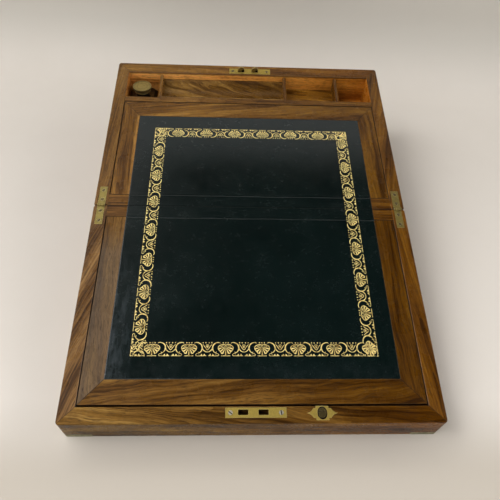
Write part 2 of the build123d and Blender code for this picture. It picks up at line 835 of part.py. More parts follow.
with BuildPart() as lid_front_wall:
    add(
        wall_piece(
            lid_frame,
            [
                (-width / 2, -half_depth),
                (-inner_x, -inner_y),
                (inner_x, -inner_y),
                (width / 2, -half_depth),
            ],
        )
    )
    add(corner_caps.part, mode=Mode.SUBTRACT)
    bed_width = strike_width + 2 * plate_clearance
    add(
        rim_block(lock_x, strike_y, bed_length, bed_width, -rim_bevel, lock_plate),
        mode=Mode.SUBTRACT,
    )
    for x in hooks_x:
        pocket_left = x + stem_left - 2 * slot_clearance
        pocket_right = x + hook_radius + hook_travel + 2 * slot_clearance
        pocket = rim_block(
            (pocket_left + pocket_right) / 2,
            -hook_y,
            pocket_right - pocket_left,
            pocket_width,
            0,
            lock_plate + hook_pocket,
        )
        add(pocket, mode=Mode.SUBTRACT)
    add(catch_plate_blank(-rim_bevel), mode=Mode.SUBTRACT)
    channel_far = inner_y + slide_tail + catch_travel + slot_clearance
    channel = rim_block(
        catch_x,
        -(inner_y + channel_far) / 2 + wall / 2,
        slide_width + 2 * slide_clearance,
        channel_far - inner_y + wall,
        catch_plate,
        slide_bottom + slide_clearance,
    )
    add(channel, mode=Mode.SUBTRACT)
    lug_room = rim_block(
        catch_x,
        -(inner_y + lug_inset + spring_end) / 2 + lug,
        lug_width + 2 * slot_clearance,
        spring_end - inner_y - lug_inset + 2 * lug,
        slide_bottom,
        slide_bottom + lug_drop + slot_clearance,
    )
    add(lug_room, mode=Mode.SUBTRACT)
pieces["lid_front_wall"] = lid_front_wall

# ---------- the inkwell: a square glass bottle with a screwed brass collar and a cap ----------
bottle_x = -inner_x + bottle_side_gap + bottle / 2
bottle_y = lining_face - bottle_back_gap - bottle / 2
shoulder_top = till_floor + bottle_body + shoulder
neck_top = shoulder_top + neck_height

with BuildPart() as inkwell_bottle:
    with BuildSketch(Plane.XY.offset(till_floor)) as footprint:
        with Locations((bottle_x, bottle_y)):
            Rectangle(bottle, bottle)
        chamfer(footprint.vertices(), bottle_chamfer)
    extrude(amount=bottle_body)
    with BuildSketch(Plane.XY.offset(till_floor + bottle_body)) as waist:
        with Locations((bottle_x, bottle_y)):
            Rectangle(bottle, bottle)
        chamfer(waist.vertices(), bottle_chamfer)
    extrude(amount=shoulder, taper=45)
    with BuildSketch(Plane.XY.offset(shoulder_top)):
        with Locations((bottle_x, bottle_y)):
            Circle(neck_radius)
    extrude(amount=neck_height)
    with BuildSketch(Plane.XY.offset(till_floor + glass)) as inside:
        with Locations((bottle_x, bottle_y)):
            Rectangle(bottle - 2 * glass, bottle - 2 * glass)
        chamfer(inside.vertices(), bottle_chamfer - glass / 2)
    extrude(amount=bottle_body + shoulder - 2 * glass, mode=Mode.SUBTRACT)
    with BuildSketch(Plane.XY.offset(neck_top)):
        with Locations((bottle_x, bottle_y)):
            Circle(neck_bore)
    extrude(amount=-neck_height - glass, mode=Mode.SUBTRACT)
pieces["inkwell_bottle"] = inkwell_bottle

with BuildPart() as inkwell_collar:
    with BuildSketch(Plane.XY.offset(shoulder_top + collar_lift)):
        with Locations((bottle_x, bottle_y)):
            Circle(collar_radius)
            Circle(neck_radius, mode=Mode.SUBTRACT)
    extrude(amount=collar_height)
pieces["inkwell_collar"] = inkwell_collar

with BuildPart() as inkwell_cap:
    for radius, start, height in (
        (cap_radius, -cap_rim, cap_rim + cap_top),
        (cap_skirt_radius, -cap_skirt, cap_skirt),
    ):
        with BuildSketch(Plane.XY.offset(neck_top + start)):
            with Locations((bottle_x, bottle_y)):
                Circle(radius)
        extrude(amount=height)
    with BuildSketch(Plane.XY.offset(neck_top + cap_top)):
        with Locations((bottle_x, bottle_y)):
            Circle(cap_radius - cap_lip)
    extrude(amount=-cap_dish, mode=Mode.SUBTRACT)
    with BuildSketch(Plane.XY.offset(neck_top - cap_skirt)):
        with Locations((bottle_x, bottle_y)):
            Circle(neck_radius + cap_clearance)
    extrude(amount=cap_skirt, mode=Mode.SUBTRACT)
pieces["inkwell_cap"] = inkwell_cap

for name, piece in pieces.items():
    piece.part.label = name
    export_step(piece.part, f"parts/{name}.step")
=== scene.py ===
"""The writing slope's looks: camera, light, woods, tooled leather and metalwork round the CAD frame."""

import math

import bpy
import numpy as np
from mathutils import Euler, Matrix, Vector


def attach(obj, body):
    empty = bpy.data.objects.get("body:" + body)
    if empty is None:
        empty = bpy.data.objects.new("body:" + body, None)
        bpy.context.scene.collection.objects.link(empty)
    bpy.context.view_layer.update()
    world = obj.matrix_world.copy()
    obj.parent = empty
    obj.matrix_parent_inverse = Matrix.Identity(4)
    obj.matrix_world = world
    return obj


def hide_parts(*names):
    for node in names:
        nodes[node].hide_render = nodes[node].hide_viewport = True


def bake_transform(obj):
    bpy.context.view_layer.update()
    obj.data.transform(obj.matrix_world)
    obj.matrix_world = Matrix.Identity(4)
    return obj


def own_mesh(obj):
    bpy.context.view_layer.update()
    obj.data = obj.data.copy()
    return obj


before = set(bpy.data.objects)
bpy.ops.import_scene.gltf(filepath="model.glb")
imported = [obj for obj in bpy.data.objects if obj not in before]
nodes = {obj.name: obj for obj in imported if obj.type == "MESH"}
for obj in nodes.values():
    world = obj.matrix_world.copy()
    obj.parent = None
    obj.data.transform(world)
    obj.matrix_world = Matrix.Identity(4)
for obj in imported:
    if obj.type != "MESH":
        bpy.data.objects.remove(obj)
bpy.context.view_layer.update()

MM = 0.001
TO_MM = 1000.0

# ---------- sizes, as in the CAD, in millimetres on the rim's plane ----------
# The rim's plane climbs away from the writer and crosses x = y = 0 at the height FOLD.
SLOPE = math.atan2(35.0, 230.0)
FOLD = 68.0
FRONT_FACE = -230.0
SIDE_INSIDE = 160.0  # the side walls' inner faces
FRONT_INSIDE = -215.0
PARTITION_FRONT, PARTITION_BACK = 160.0, 168.0
FLAP_HALF, FLAP_BACK, FLAP_FRONT = 159.0, 158.8, -213.2
LEATHER_HALF, LEATHER_BACK, LEATHER_FRONT = 138.2, 135.3, -191.0
LEATHER_TOP, LEATHER_UNDER = 0.5, 1.1  # depths under the rim
SIDE_MARGIN, BACK_MARGIN, FRONT_MARGIN = 20.8, 23.5, 22.2  # banding round the leather
FOLD_WALL, CREASE = 14.6, 15.0  # a fold wall ends and a flap begins
BOTTLE_X, BOTTLE_Y = -141.5, 192.5

# ---------- camera, solved from the box's own right angles in the photograph ----------
CAMERA_PLACE = (-25.092 * MM, -369.018 * MM, 460.196 * MM)
CAMERA_TURN = (38.0971, -2.3945, -1.1121)  # degrees about x, y and z
CAMERA_LENS = 34.30
SENSOR = 36.0


def add_camera():
    """The camera at the photograph's place and angle."""
    data = bpy.data.cameras.new("photo_camera")
    data.lens = CAMERA_LENS
    data.sensor_width = SENSOR
    data.clip_start = 0.01
    data.clip_end = 50.0
    camera = bpy.data.objects.new("photo_camera", data)
    bpy.context.scene.collection.objects.link(camera)
    turn = Euler([math.radians(angle) for angle in CAMERA_TURN])
    camera.matrix_world = Matrix.Translation(CAMERA_PLACE) @ turn.to_matrix().to_4x4()
    bpy.context.scene.camera = camera


add_camera()


# ---------- short names for building node trees ----------
def fill(tree, socket, value):
    """Links a socket to another, or sets its constant."""
    if isinstance(value, bpy.types.NodeSocket):
        tree.links.new(value, socket)
    elif isinstance(value, tuple) and len(value) == 3 and socket.type == "RGBA":
        socket.default_value = (*value, 1.0)
    else:
        socket.default_value = value


def put(tree, kind, inputs=(), **settings):
    """A node with its settings made first and its inputs then filled, by name or place."""
    made = tree.nodes.new(kind)
    for key, value in settings.items():
        setattr(made, key, value)
    for key, value in dict(inputs).items():
        fill(tree, made.inputs[key], value)
    return made


def maths(tree, operation, *values):
    """The result of a Math node."""
    return put(tree, "ShaderNodeMath", enumerate(values), operation=operation).outputs[0]


def noise(tree, vector, scale=1.0, detail=3.0, roughness=0.5):
    """A noise value, about 0.25 to 0.75."""
    inputs = {"Vector": vector, "Scale": scale, "Detail": detail, "Roughness": roughness}
    return put(tree, "ShaderNodeTexNoise", inputs).outputs[0]


def fade(tree, value, low, high, start=0.0, end=1.0):
    """Value mapped smoothly from low..high to start..end."""
    inputs = {"Value": value, "From Min": low, "From Max": high, "To Min": start, "To Max": end}
    made = put(tree, "ShaderNodeMapRange", inputs, interpolation_type="SMOOTHSTEP")
    return made.outputs[0]


def ramp(tree, value, stops):
    """Value looked up in a row of (place, colour) stops."""
    made = put(tree, "ShaderNodeValToRGB", {"Fac": value})
    elements = made.color_ramp.elements
    elements[0].position, elements[1].position = stops[0][0], stops[-1][0]
    for place, _ in stops[1:-1]:
        elements.new(place)
    for element, (_, colour) in zip(elements, stops):
        element.color = (*colour, 1.0)
    return made.outputs[0]


def blend_colours(tree, share, first, second, kind="MIX"):
    """Two colours mixed by share, or combined in another way."""
    made = put(tree, "ShaderNodeMix", data_type="RGBA", blend_type=kind)
    for place, value in ((0, share), (6, first), (7, second)):
        fill(tree, made.inputs[place], value)
    return made.outputs[2]


def new_group(name, inputs, outputs):
    """An empty shader node group with those sockets: its tree, its input node and its output node."""
    tree = bpy.data.node_groups.new(name, "ShaderNodeTree")
    for way, sockets in (("INPUT", inputs), ("OUTPUT", outputs)):
        for label, kind in sockets:
            tree.interface.new_socket(label, in_out=way, socket_type="NodeSocket" + kind)
    return tree, tree.nodes.new("NodeGroupInput"), tree.nodes.new("NodeGroupOutput")


def apart(tree, vector):
    """The x, y and z of a vector."""
    return put(tree, "ShaderNodeSeparateXYZ", {0: vector}).outputs


def together(tree, x, y, z):
    """A vector of three values."""
    return put(tree, "ShaderNodeCombineXYZ", {0: x, 1: y, 2: z}).outputs[0]


def scaled(tree, vector, factor):
    """A vector times a constant, one number or three."""
    factors = factor if isinstance(factor, tuple) else (factor, factor, factor)
    made = put(tree, "ShaderNodeVectorMath", {0: vector}, operation="MULTIPLY")
    made.inputs[1].default_value = factors
    return made.outputs[0]


def both(tree, *masks):
    """1 where every mask is 1: their product."""
    joined = masks[0]
    for mask in masks[1:]:
        joined = maths(tree, "MULTIPLY", joined, mask)
    return joined


def either(tree, *masks):
    """1 where any mask is 1: the largest of them."""
    joined = masks[0]
    for mask in masks[1:]:
        joined = maths(tree, "MAXIMUM", joined, mask)
    return joined


def within(tree, value, low, high):
    """1 where value lies from low to high, 0 elsewhere."""
    return maths(tree, "COMPARE", value, (low + high) / 2, (high - low) / 2)


def line_at(tree, value, centre, full, gone, peak=1.0):
    """Peak where value is no further than full from centre, fading to 0 at gone."""
    away = maths(tree, "ABSOLUTE", maths(tree, "SUBTRACT", value, centre))
    return fade(tree, away, full, gone, peak, 0.0)


def use(tree, group, **inputs):
    """The outputs of a node group placed in the tree."""
    return put(tree, "ShaderNodeGroup", inputs, node_tree=group).outputs


# ---------- effects that several materials share ----------
def make_grain():
    """Wood: Tone is the broad figure, Streak the fine lines, Ring the year rings, Pore short dark dashes.

    All run from 0 to 1. Lengths run along y, or along x where Cross is 1; Slant tilts the figure, Bend is
    how far it wanders in mm, and Shift picks the board. A ring darkens slowly and ends sharply: the cube of
    the fraction of a smooth noise times the number of rings.
    """
    tree, entry, out = new_group(
        "wood_grain",
        [("Vector", "Vector"), ("Cross", "Float"), ("Slant", "Float"), ("Shift", "Float"), ("Bend", "Float")],
        [("Tone", "Float"), ("Streak", "Float"), ("Ring", "Float"), ("Pore", "Float")],
    )
    x, y, z = apart(tree, scaled(tree, entry.outputs["Vector"], TO_MM))
    cross, shift = entry.outputs["Cross"], entry.outputs["Shift"]
    rise = maths(tree, "MULTIPLY_ADD", y, -math.tan(SLOPE), z)
    to_y = maths(tree, "SUBTRACT", y, x)
    along = maths(tree, "MULTIPLY_ADD", maths(tree, "SUBTRACT", 1.0, cross), to_y, x)
    across = maths(tree, "MULTIPLY_ADD", cross, to_y, x)
    depth = maths(tree, "ADD", rise, shift)
    leaning = maths(tree, "MULTIPLY", along, entry.outputs["Slant"])
    along = maths(tree, "ADD", along, shift)
    wander = noise(tree, scaled(tree, together(tree, along, across, depth), (0.014, 0.03, 0.03)), 1.0, 2.0)
    bend = maths(tree, "MULTIPLY_ADD", wander, entry.outputs["Bend"], leaning)
    flow = together(tree, along, maths(tree, "ADD", across, bend), depth)
    tone = noise(tree, scaled(tree, flow, (0.006, 0.075, 0.075)), 1.0, 4.0, 0.55)
    streak = noise(tree, scaled(tree, flow, (0.012, 0.42, 0.42)), 1.0, 4.0, 0.75)
    field = noise(tree, scaled(tree, flow, (0.0025, 0.045, 0.045)), 1.0, 1.5, 0.5)
    ring = maths(tree, "POWER", maths(tree, "FRACT", maths(tree, "MULTIPLY", field, 16.0)), 3.0)
    pore = noise(tree, scaled(tree, flow, (0.13, 2.2, 2.2)), 1.0, 1.0)
    fill(tree, out.inputs["Tone"], fade(tree, tone, 0.36, 0.66))
    fill(tree, out.inputs["Streak"], fade(tree, streak, 0.36, 0.66))
    fill(tree, out.inputs["Ring"], ring)
    fill(tree, out.inputs["Pore"], fade(tree, pore, 0.55, 0.66))
    return tree


def make_places():
    """Where things are on the box: Depth under the rim in mm, Cross where banding runs along x, and a mask
    of painted shade and dark joints.

    That mask is 1 in the gaps round the flaps, on the fold and at the flaps' creases, where it paints shade,
    and on the mitred joints.
    """
    tree, entry, out = new_group(
        "places", [("Vector", "Vector")], [("Depth", "Float"), ("Cross", "Float"), ("GapShadeAndJoints", "Float")]
    )
    x, y, z = apart(tree, scaled(tree, entry.outputs["Vector"], TO_MM))
    side, level = maths(tree, "ABSOLUTE", x), maths(tree, "ABSOLUTE", y)
    fall = maths(tree, "MULTIPLY_ADD", y, math.tan(SLOPE), maths(tree, "SUBTRACT", FOLD, z))
    depth = maths(tree, "MULTIPLY", fall, math.cos(SLOPE))
    # Painted shade in the open gaps round the flaps, from just past a flap's edge to just past the wall's
    # face.
    past = 0.3
    far = PARTITION_FRONT + past
    near = FRONT_INSIDE - past
    beside = within(tree, side, FLAP_HALF + 0.2, SIDE_INSIDE + past)
    beside = both(tree, beside, within(tree, y, near, far))
    ends = either(tree, within(tree, y, near, FLAP_FRONT + 0.1), within(tree, y, FLAP_BACK + past, far - 0.2))
    ends = both(tree, ends, maths(tree, "LESS_THAN", side, SIDE_INSIDE + past))
    gap_shade = both(tree, either(tree, beside, ends), within(tree, depth, 0.5, 6.4))
    fold = both(tree, fade(tree, level, 0.3, 0.75, 1.0, 0.0), fade(tree, depth, 0.8, 2.4, 1.0, 0.0))
    crease_middle = (FOLD_WALL + CREASE) / 2
    crease = line_at(tree, level, crease_middle, 0.2, 0.6)
    crease = both(tree, crease, maths(tree, "LESS_THAN", side, FLAP_HALF + 0.2))
    # How far across the banding a point lies: 0 at the leather and 1 at the flap's edge.
    sideways = maths(tree, "DIVIDE", maths(tree, "SUBTRACT", side, LEATHER_HALF), SIDE_MARGIN)
    behind = maths(tree, "DIVIDE", maths(tree, "SUBTRACT", y, LEATHER_BACK), BACK_MARGIN)
    before = maths(tree, "DIVIDE", maths(tree, "SUBTRACT", LEATHER_FRONT, y), FRONT_MARGIN)
    endways = either(tree, behind, before)
    joint = both(
        tree,
        line_at(tree, endways, sideways, 0.01, 0.03),
        maths(tree, "GREATER_THAN", endways, 0.0),
        maths(tree, "LESS_THAN", endways, 1.0),
    )
    # The mitres of the walls, where x and y leave the inner corner by the same length.
    corner = both(
        tree,
        line_at(tree, maths(tree, "SUBTRACT", side, level), SIDE_INSIDE + FRONT_INSIDE, 0.2, 0.6),
        maths(tree, "GREATER_THAN", side, SIDE_INSIDE - 0.1),
        maths(tree, "GREATER_THAN", level, -FRONT_INSIDE - 0.1),
    )
    mitres = maths(tree, "MULTIPLY", either(tree, joint, corner), 0.75)
    lines = either(tree, fold, crease, mitres)
    across_fold = maths(tree, "LESS_THAN", level, crease_middle)
    cross = either(tree, maths(tree, "GREATER_THAN", endways, sideways), across_fold)
    fill(tree, out.inputs["Depth"], depth)
    fill(tree, out.inputs["Cross"], cross)
    fill(tree, out.inputs["GapShadeAndJoints"], either(tree, gap_shade, lines))
    return tree


def make_edges():
    """Worn edges, with a painted highlight on them in metal: 1 along an outside or inside edge, found where a
    rounded normal leaves the face's own.
    """
    tree, entry, out = new_group("edges", [("Radius", "Float")], [("Edge", "Float")])
    round_normal = put(tree, "ShaderNodeBevel", {"Radius": entry.outputs["Radius"]}, samples=4).outputs[0]
    flat_normal = tree.nodes.new("ShaderNodeNewGeometry").outputs["Normal"]
    near = put(tree, "ShaderNodeVectorMath", {0: round_normal, 1: flat_normal}, operation="DOT_PRODUCT")
    fill(tree, out.inputs["Edge"], fade(tree, near.outputs["Value"], 0.80, 0.995, 1.0, 0.0))
    return tree


def make_wear():
    """Handling: Rub is where polish has gone, Grime where dirt has stayed, both patchy and 0 to 1."""
    tree, entry, out = new_group(
        "wear", [("Vector", "Vector")], [("Rub", "Float"), ("Grime", "Float"), ("Fine", "Float")]
    )
    place = scaled(tree, entry.outputs["Vector"], TO_MM)
    rub = noise(tree, scaled(tree, place, (0.035, 0.03, 0.04)), 1.0, 5.0, 0.65)
    grime = noise(tree, scaled(tree, place, 0.09), 1.0, 6.0, 0.7)
    fine = noise(tree, scaled(tree, place, 1.3), 1.0, 3.0, 0.6)
    fill(tree, out.inputs["Rub"], fade(tree, rub, 0.45, 0.7))
    fill(tree, out.inputs["Grime"], fade(tree, grime, 0.48, 0.72))
    fill(tree, out.inputs["Fine"], fine)
    return tree


GRAIN = make_grain()
PLACES = make_places()
EDGES = make_edges()
WEAR = make_wear()


# ---------- materials ----------
def new_material(name):
    """A material with its tree, its Principled node and object coordinates."""
    made = bpy.data.materials.new(name)
    made.use_nodes = True
    tree = made.node_tree
    place = tree.nodes.new("ShaderNodeTexCoord").outputs["Object"]
    return made, tree, tree.nodes["Principled BSDF"], place


def raise_surface(tree, shader, height, strength, distance):
    """A bump from a height of 0 to 1, distance in metres."""
    bump = put(tree, "ShaderNodeBump", {"Height": height, "Strength": strength, "Distance": distance})
    fill(tree, shader.inputs["Normal"], bump.outputs[0])


# Woods, from their darkest to their palest, as (place, colour) stops.
WALNUT = (
    (0.05, (0.040, 0.0160, 0.0026)),
    (0.30, (0.092, 0.0410, 0.0072)),
    (0.52, (0.136, 0.0640, 0.0120)),
    (0.75, (0.180, 0.0900, 0.0185)),
    (0.95, (0.240, 0.1300, 0.0310)),
)
VENEER = (
    (0.05, (0.042, 0.0165, 0.0022)),
    (0.30, (0.094, 0.0410, 0.0064)),
    (0.52, (0.134, 0.0620, 0.0105)),
    (0.75, (0.172, 0.0840, 0.0155)),
    (0.95, (0.225, 0.1190, 0.0245)),
)
TRAY = (
    (0.08, (0.052, 0.0240, 0.0045)),
    (0.35, (0.105, 0.0520, 0.0100)),
    (0.55, (0.150, 0.0780, 0.0160)),
    (0.80, (0.200, 0.1100, 0.0250)),
    (0.95, (0.270, 0.1600, 0.0430)),
)
NIB = (
    (0.08, (0.088, 0.0360, 0.0050)),
    (0.35, (0.180, 0.0840, 0.0115)),
    (0.60, (0.270, 0.1320, 0.0200)),
    (0.95, (0.420, 0.2350, 0.0420)),
)
PINE = (
    (0.05, (0.380, 0.1450, 0.0240)),
    (0.50, (0.700, 0.3150, 0.0700)),
    (0.95, (0.820, 0.4200, 0.1100)),
)
MAHOGANY = (
    (0.05, (0.034, 0.010, 0.004)),
    (0.50, (0.085, 0.028, 0.010)),
    (0.95, (0.140, 0.052, 0.019)),
)
# Near-black for the pores and joints, and for the painted shade in the gaps.
SOOT_AND_SHADE = (0.010, 0.0045, 0.002)
GREASE = (0.03, 0.016, 0.006)
RUBBED_WOOD = (0.26, 0.140, 0.045)
STRINGING = (0.30, 0.150, 0.035)
# A grey painted on the left banding as sheen.
SHEEN_GREY = (0.095, 0.082, 0.056)
# Painted light on the wood: a paler, greyer sheen on the left and darker, warmer shade on the right, as tints
# for both sides of any wood, and painted light and shade of its own across the outer front face.
LEFT_SHEEN_TINT, RIGHT_SHADE_TINT = (1.28, 1.24, 1.30), (0.88, 0.74, 0.40)
FACE_LEFT_SHADE_TINT, FACE_RIGHT_LIGHT_TINT = (0.76, 0.76, 0.62), (1.95, 1.88, 0.85)


def wood(
    name,
    stops,
    cross=0.0,
    slant=0.0,
    shift=0.0,
    bend=10.0,
    fine=0.4,
    rings=0.3,
    kind="",
    left=LEFT_SHEEN_TINT,
    right=RIGHT_SHADE_TINT,
    gloss_index=1.32,
):
    """A polished wood: figure, streaks and rings coloured by stops, dark pores, grime, rubbed edges, dark
    joints and painted shade in the gaps.

    A "banding" turns its grain at the mitres, has a paler line beside the leather and a painted grey sheen
    on its left side towards the front; a wall that is "lined" shows the lining's wood inside the wells, and
    "inner" wood is darker near its top. The tints left and right multiply the colour, painting sheen on the
    left and shade on the right; the outer front face takes painted light and shade of its own.
    """
    made, tree, shader, place = new_material(name)
    places = use(tree, PLACES, Vector=place)
    if kind == "banding":
        cross = places["Cross"]
        slant = maths(tree, "MULTIPLY_ADD", cross, -0.16, slant)
    grain = use(tree, GRAIN, Vector=place, Cross=cross, Slant=slant, Shift=shift, Bend=bend)
    wear = use(tree, WEAR, Vector=place)
    mixed = maths(tree, "MULTIPLY", grain["Tone"], 1.0 - fine)
    mixed = maths(tree, "MULTIPLY_ADD", grain["Streak"], fine, mixed)
    mixed = maths(tree, "MULTIPLY_ADD", grain["Ring"], -rings, maths(tree, "ADD", mixed, 0.3 * rings))
    colour = ramp(tree, mixed, stops)
    x, y, _ = apart(tree, scaled(tree, place, TO_MM))
    if kind == "lined":
        inside = maths(tree, "LESS_THAN", maths(tree, "ABSOLUTE", x), SIDE_INSIDE + 0.1)
        wells = both(tree, inside, maths(tree, "GREATER_THAN", y, PARTITION_BACK - 0.5))
        lining = ramp(tree, maths(tree, "MULTIPLY", mixed, 0.3), PINE)
        colour = blend_colours(tree, wells, colour, lining)
    if kind == "banding":
        beside = both(tree, within(tree, x, -140.8, -138.2), within(tree, y, -191.0, 135.0))
        colour = blend_colours(tree, maths(tree, "MULTIPLY", beside, 0.4), colour, STRINGING)
        # Painted sheen: the banding's left side greyer towards the front.
        strip = maths(tree, "LESS_THAN", x, -138.0)
        strip = both(tree, strip, maths(tree, "SUBTRACT", 1.0, places["Cross"]))
        left_sheen = both(tree, strip, fade(tree, y, -15.0, -70.0, 0.0, 0.5))
        colour = blend_colours(tree, left_sheen, colour, SHEEN_GREY)
    # Painted sheen and shade: paler and greyer on the left, darker and warmer on the right.
    rightwards = fade(tree, x, -150.0, 170.0)
    painted_light_tint = blend_colours(tree, rightwards, left, right)
    colour = blend_colours(tree, 1.0, colour, painted_light_tint, "MULTIPLY")
    # Painted light and shade on the outer front face: darker on the left, lighter on the right.
    face = maths(tree, "LESS_THAN", y, FRONT_FACE + 0.3)
    face_painted_light_tint = blend_colours(tree, rightwards, FACE_LEFT_SHADE_TINT, FACE_RIGHT_LIGHT_TINT)
    colour = blend_colours(tree, face, colour, face_painted_light_tint, "MULTIPLY")
    if kind == "inner":
        near_top = fade(tree, places["Depth"], 0.4, 3.4, 0.9, 0.0)
        colour = blend_colours(tree, near_top, colour, (0.055, 0.026, 0.008))
    colour = blend_colours(tree, maths(tree, "MULTIPLY", grain["Pore"], 0.55), colour, SOOT_AND_SHADE)
    colour = blend_colours(tree, maths(tree, "MULTIPLY", wear["Grime"], 0.25), colour, GREASE)
    if kind != "inner":
        edge = use(tree, EDGES, Radius=0.0008)["Edge"]
        edge = both(tree, edge, maths(tree, "MULTIPLY_ADD", wear["Fine"], 0.9, -0.15))
        colour = blend_colours(tree, edge, colour, RUBBED_WOOD)
    # Painted shade in the gaps, on the fold and at the creases, and the dark mitred joints.
    colour = blend_colours(tree, maths(tree, "MULTIPLY", places["GapShadeAndJoints"], 0.9), colour, SOOT_AND_SHADE)
    fill(tree, shader.inputs["Base Color"], colour)
    gloss = maths(tree, "MULTIPLY_ADD", wear["Rub"], 0.12, 0.26)
    gloss = maths(tree, "MULTIPLY_ADD", grain["Pore"], 0.12, gloss)
    fill(tree, shader.inputs["Roughness"], maths(tree, "MULTIPLY_ADD", places["GapShadeAndJoints"], 0.4, gloss))
    shader.inputs["IOR"].default_value = gloss_index
    height = maths(tree, "MULTIPLY_ADD", grain["Pore"], -0.8, grain["Streak"])
    raise_surface(tree, shader, height, 0.22, 0.00005)
    return made


def metal(name, colour, dull, bright, rough, tarnish=0.5, kind=""):
    """A worn metal: dull patches, scratched gloss and edges rubbed pale, with a painted highlight along them.

    What is "let in" has painted shade, near-black, wherever it lies below the rim; what is "turned" has dark
    rings round the inkwell's axis and painted shade on its upright side.
    """
    made, tree, shader, place = new_material(name)
    wear = use(tree, WEAR, Vector=place)
    spots = maths(tree, "MULTIPLY", wear["Grime"], tarnish)
    cloud = fade(tree, noise(tree, scaled(tree, place, 260.0), 1.0, 4.0, 0.6), 0.35, 0.7)
    spots = maths(tree, "MULTIPLY_ADD", cloud, tarnish * 0.6, spots)
    shade = blend_colours(tree, spots, colour, dull)
    # Edges rubbed pale, with a painted highlight along them.
    edge = use(tree, EDGES, Radius=0.0005)["Edge"]
    shade = blend_colours(tree, maths(tree, "MULTIPLY", edge, 0.75), shade, bright)
    if kind == "turned":
        x, y, _ = apart(tree, scaled(tree, place, TO_MM))
        x, y = maths(tree, "SUBTRACT", x, BOTTLE_X), maths(tree, "SUBTRACT", y, BOTTLE_Y)
        radius = maths(tree, "SQRT", maths(tree, "MULTIPLY_ADD", x, x, maths(tree, "MULTIPLY", y, y)))
        lip, dish = line_at(tree, radius, 10.5, 0.2, 0.8), line_at(tree, radius, 6.6, 0.2, 0.7, 0.8)
        grooves = either(tree, lip, dish)
        # Painted shade on the cap's upright side, beyond its top.
        side = maths(tree, "GREATER_THAN", radius, 11.9)
        shade = blend_colours(tree, maths(tree, "MULTIPLY", grooves, 0.6), shade, (0.13, 0.085, 0.03))
        shade = blend_colours(tree, maths(tree, "MULTIPLY", side, 0.7), shade, (0.07, 0.045, 0.018))
    if kind == "let in":
        # Painted shade: below the rim, in recesses, slots and gaps, the metal turns near-black.
        sunk = fade(tree, use(tree, PLACES, Vector=place)["Depth"], 0.26, 0.42)
        shade = blend_colours(tree, sunk, shade, (0.020, 0.011, 0.005))
        spots = maths(tree, "ADD", spots, sunk)
    fill(tree, shader.inputs["Base Color"], shade)
    shader.inputs["Metallic"].default_value = 0.8
    scratch = noise(tree, scaled(tree, place, (9000.0, 500.0, 3000.0)), 1.0, 2.0)
    scratch = fade(tree, scratch, 0.4, 0.75)
    gloss = maths(tree, "MULTIPLY_ADD", spots, 0.25, rough)
    gloss = maths(tree, "MULTIPLY_ADD", scratch, 0.08, gloss)
    fill(tree, shader.inputs["Roughness"], gloss)
    raise_surface(tree, shader, maths(tree, "MULTIPLY_ADD", scratch, -0.4, wear["Fine"]), 0.2, 0.00005)
    return made


HIDE = (
    (0.30, (0.0009, 0.0040, 0.0037)),
    (0.55, (0.0017, 0.0062, 0.0058)),
    (0.80, (0.0034, 0.0092, 0.0092)),
)


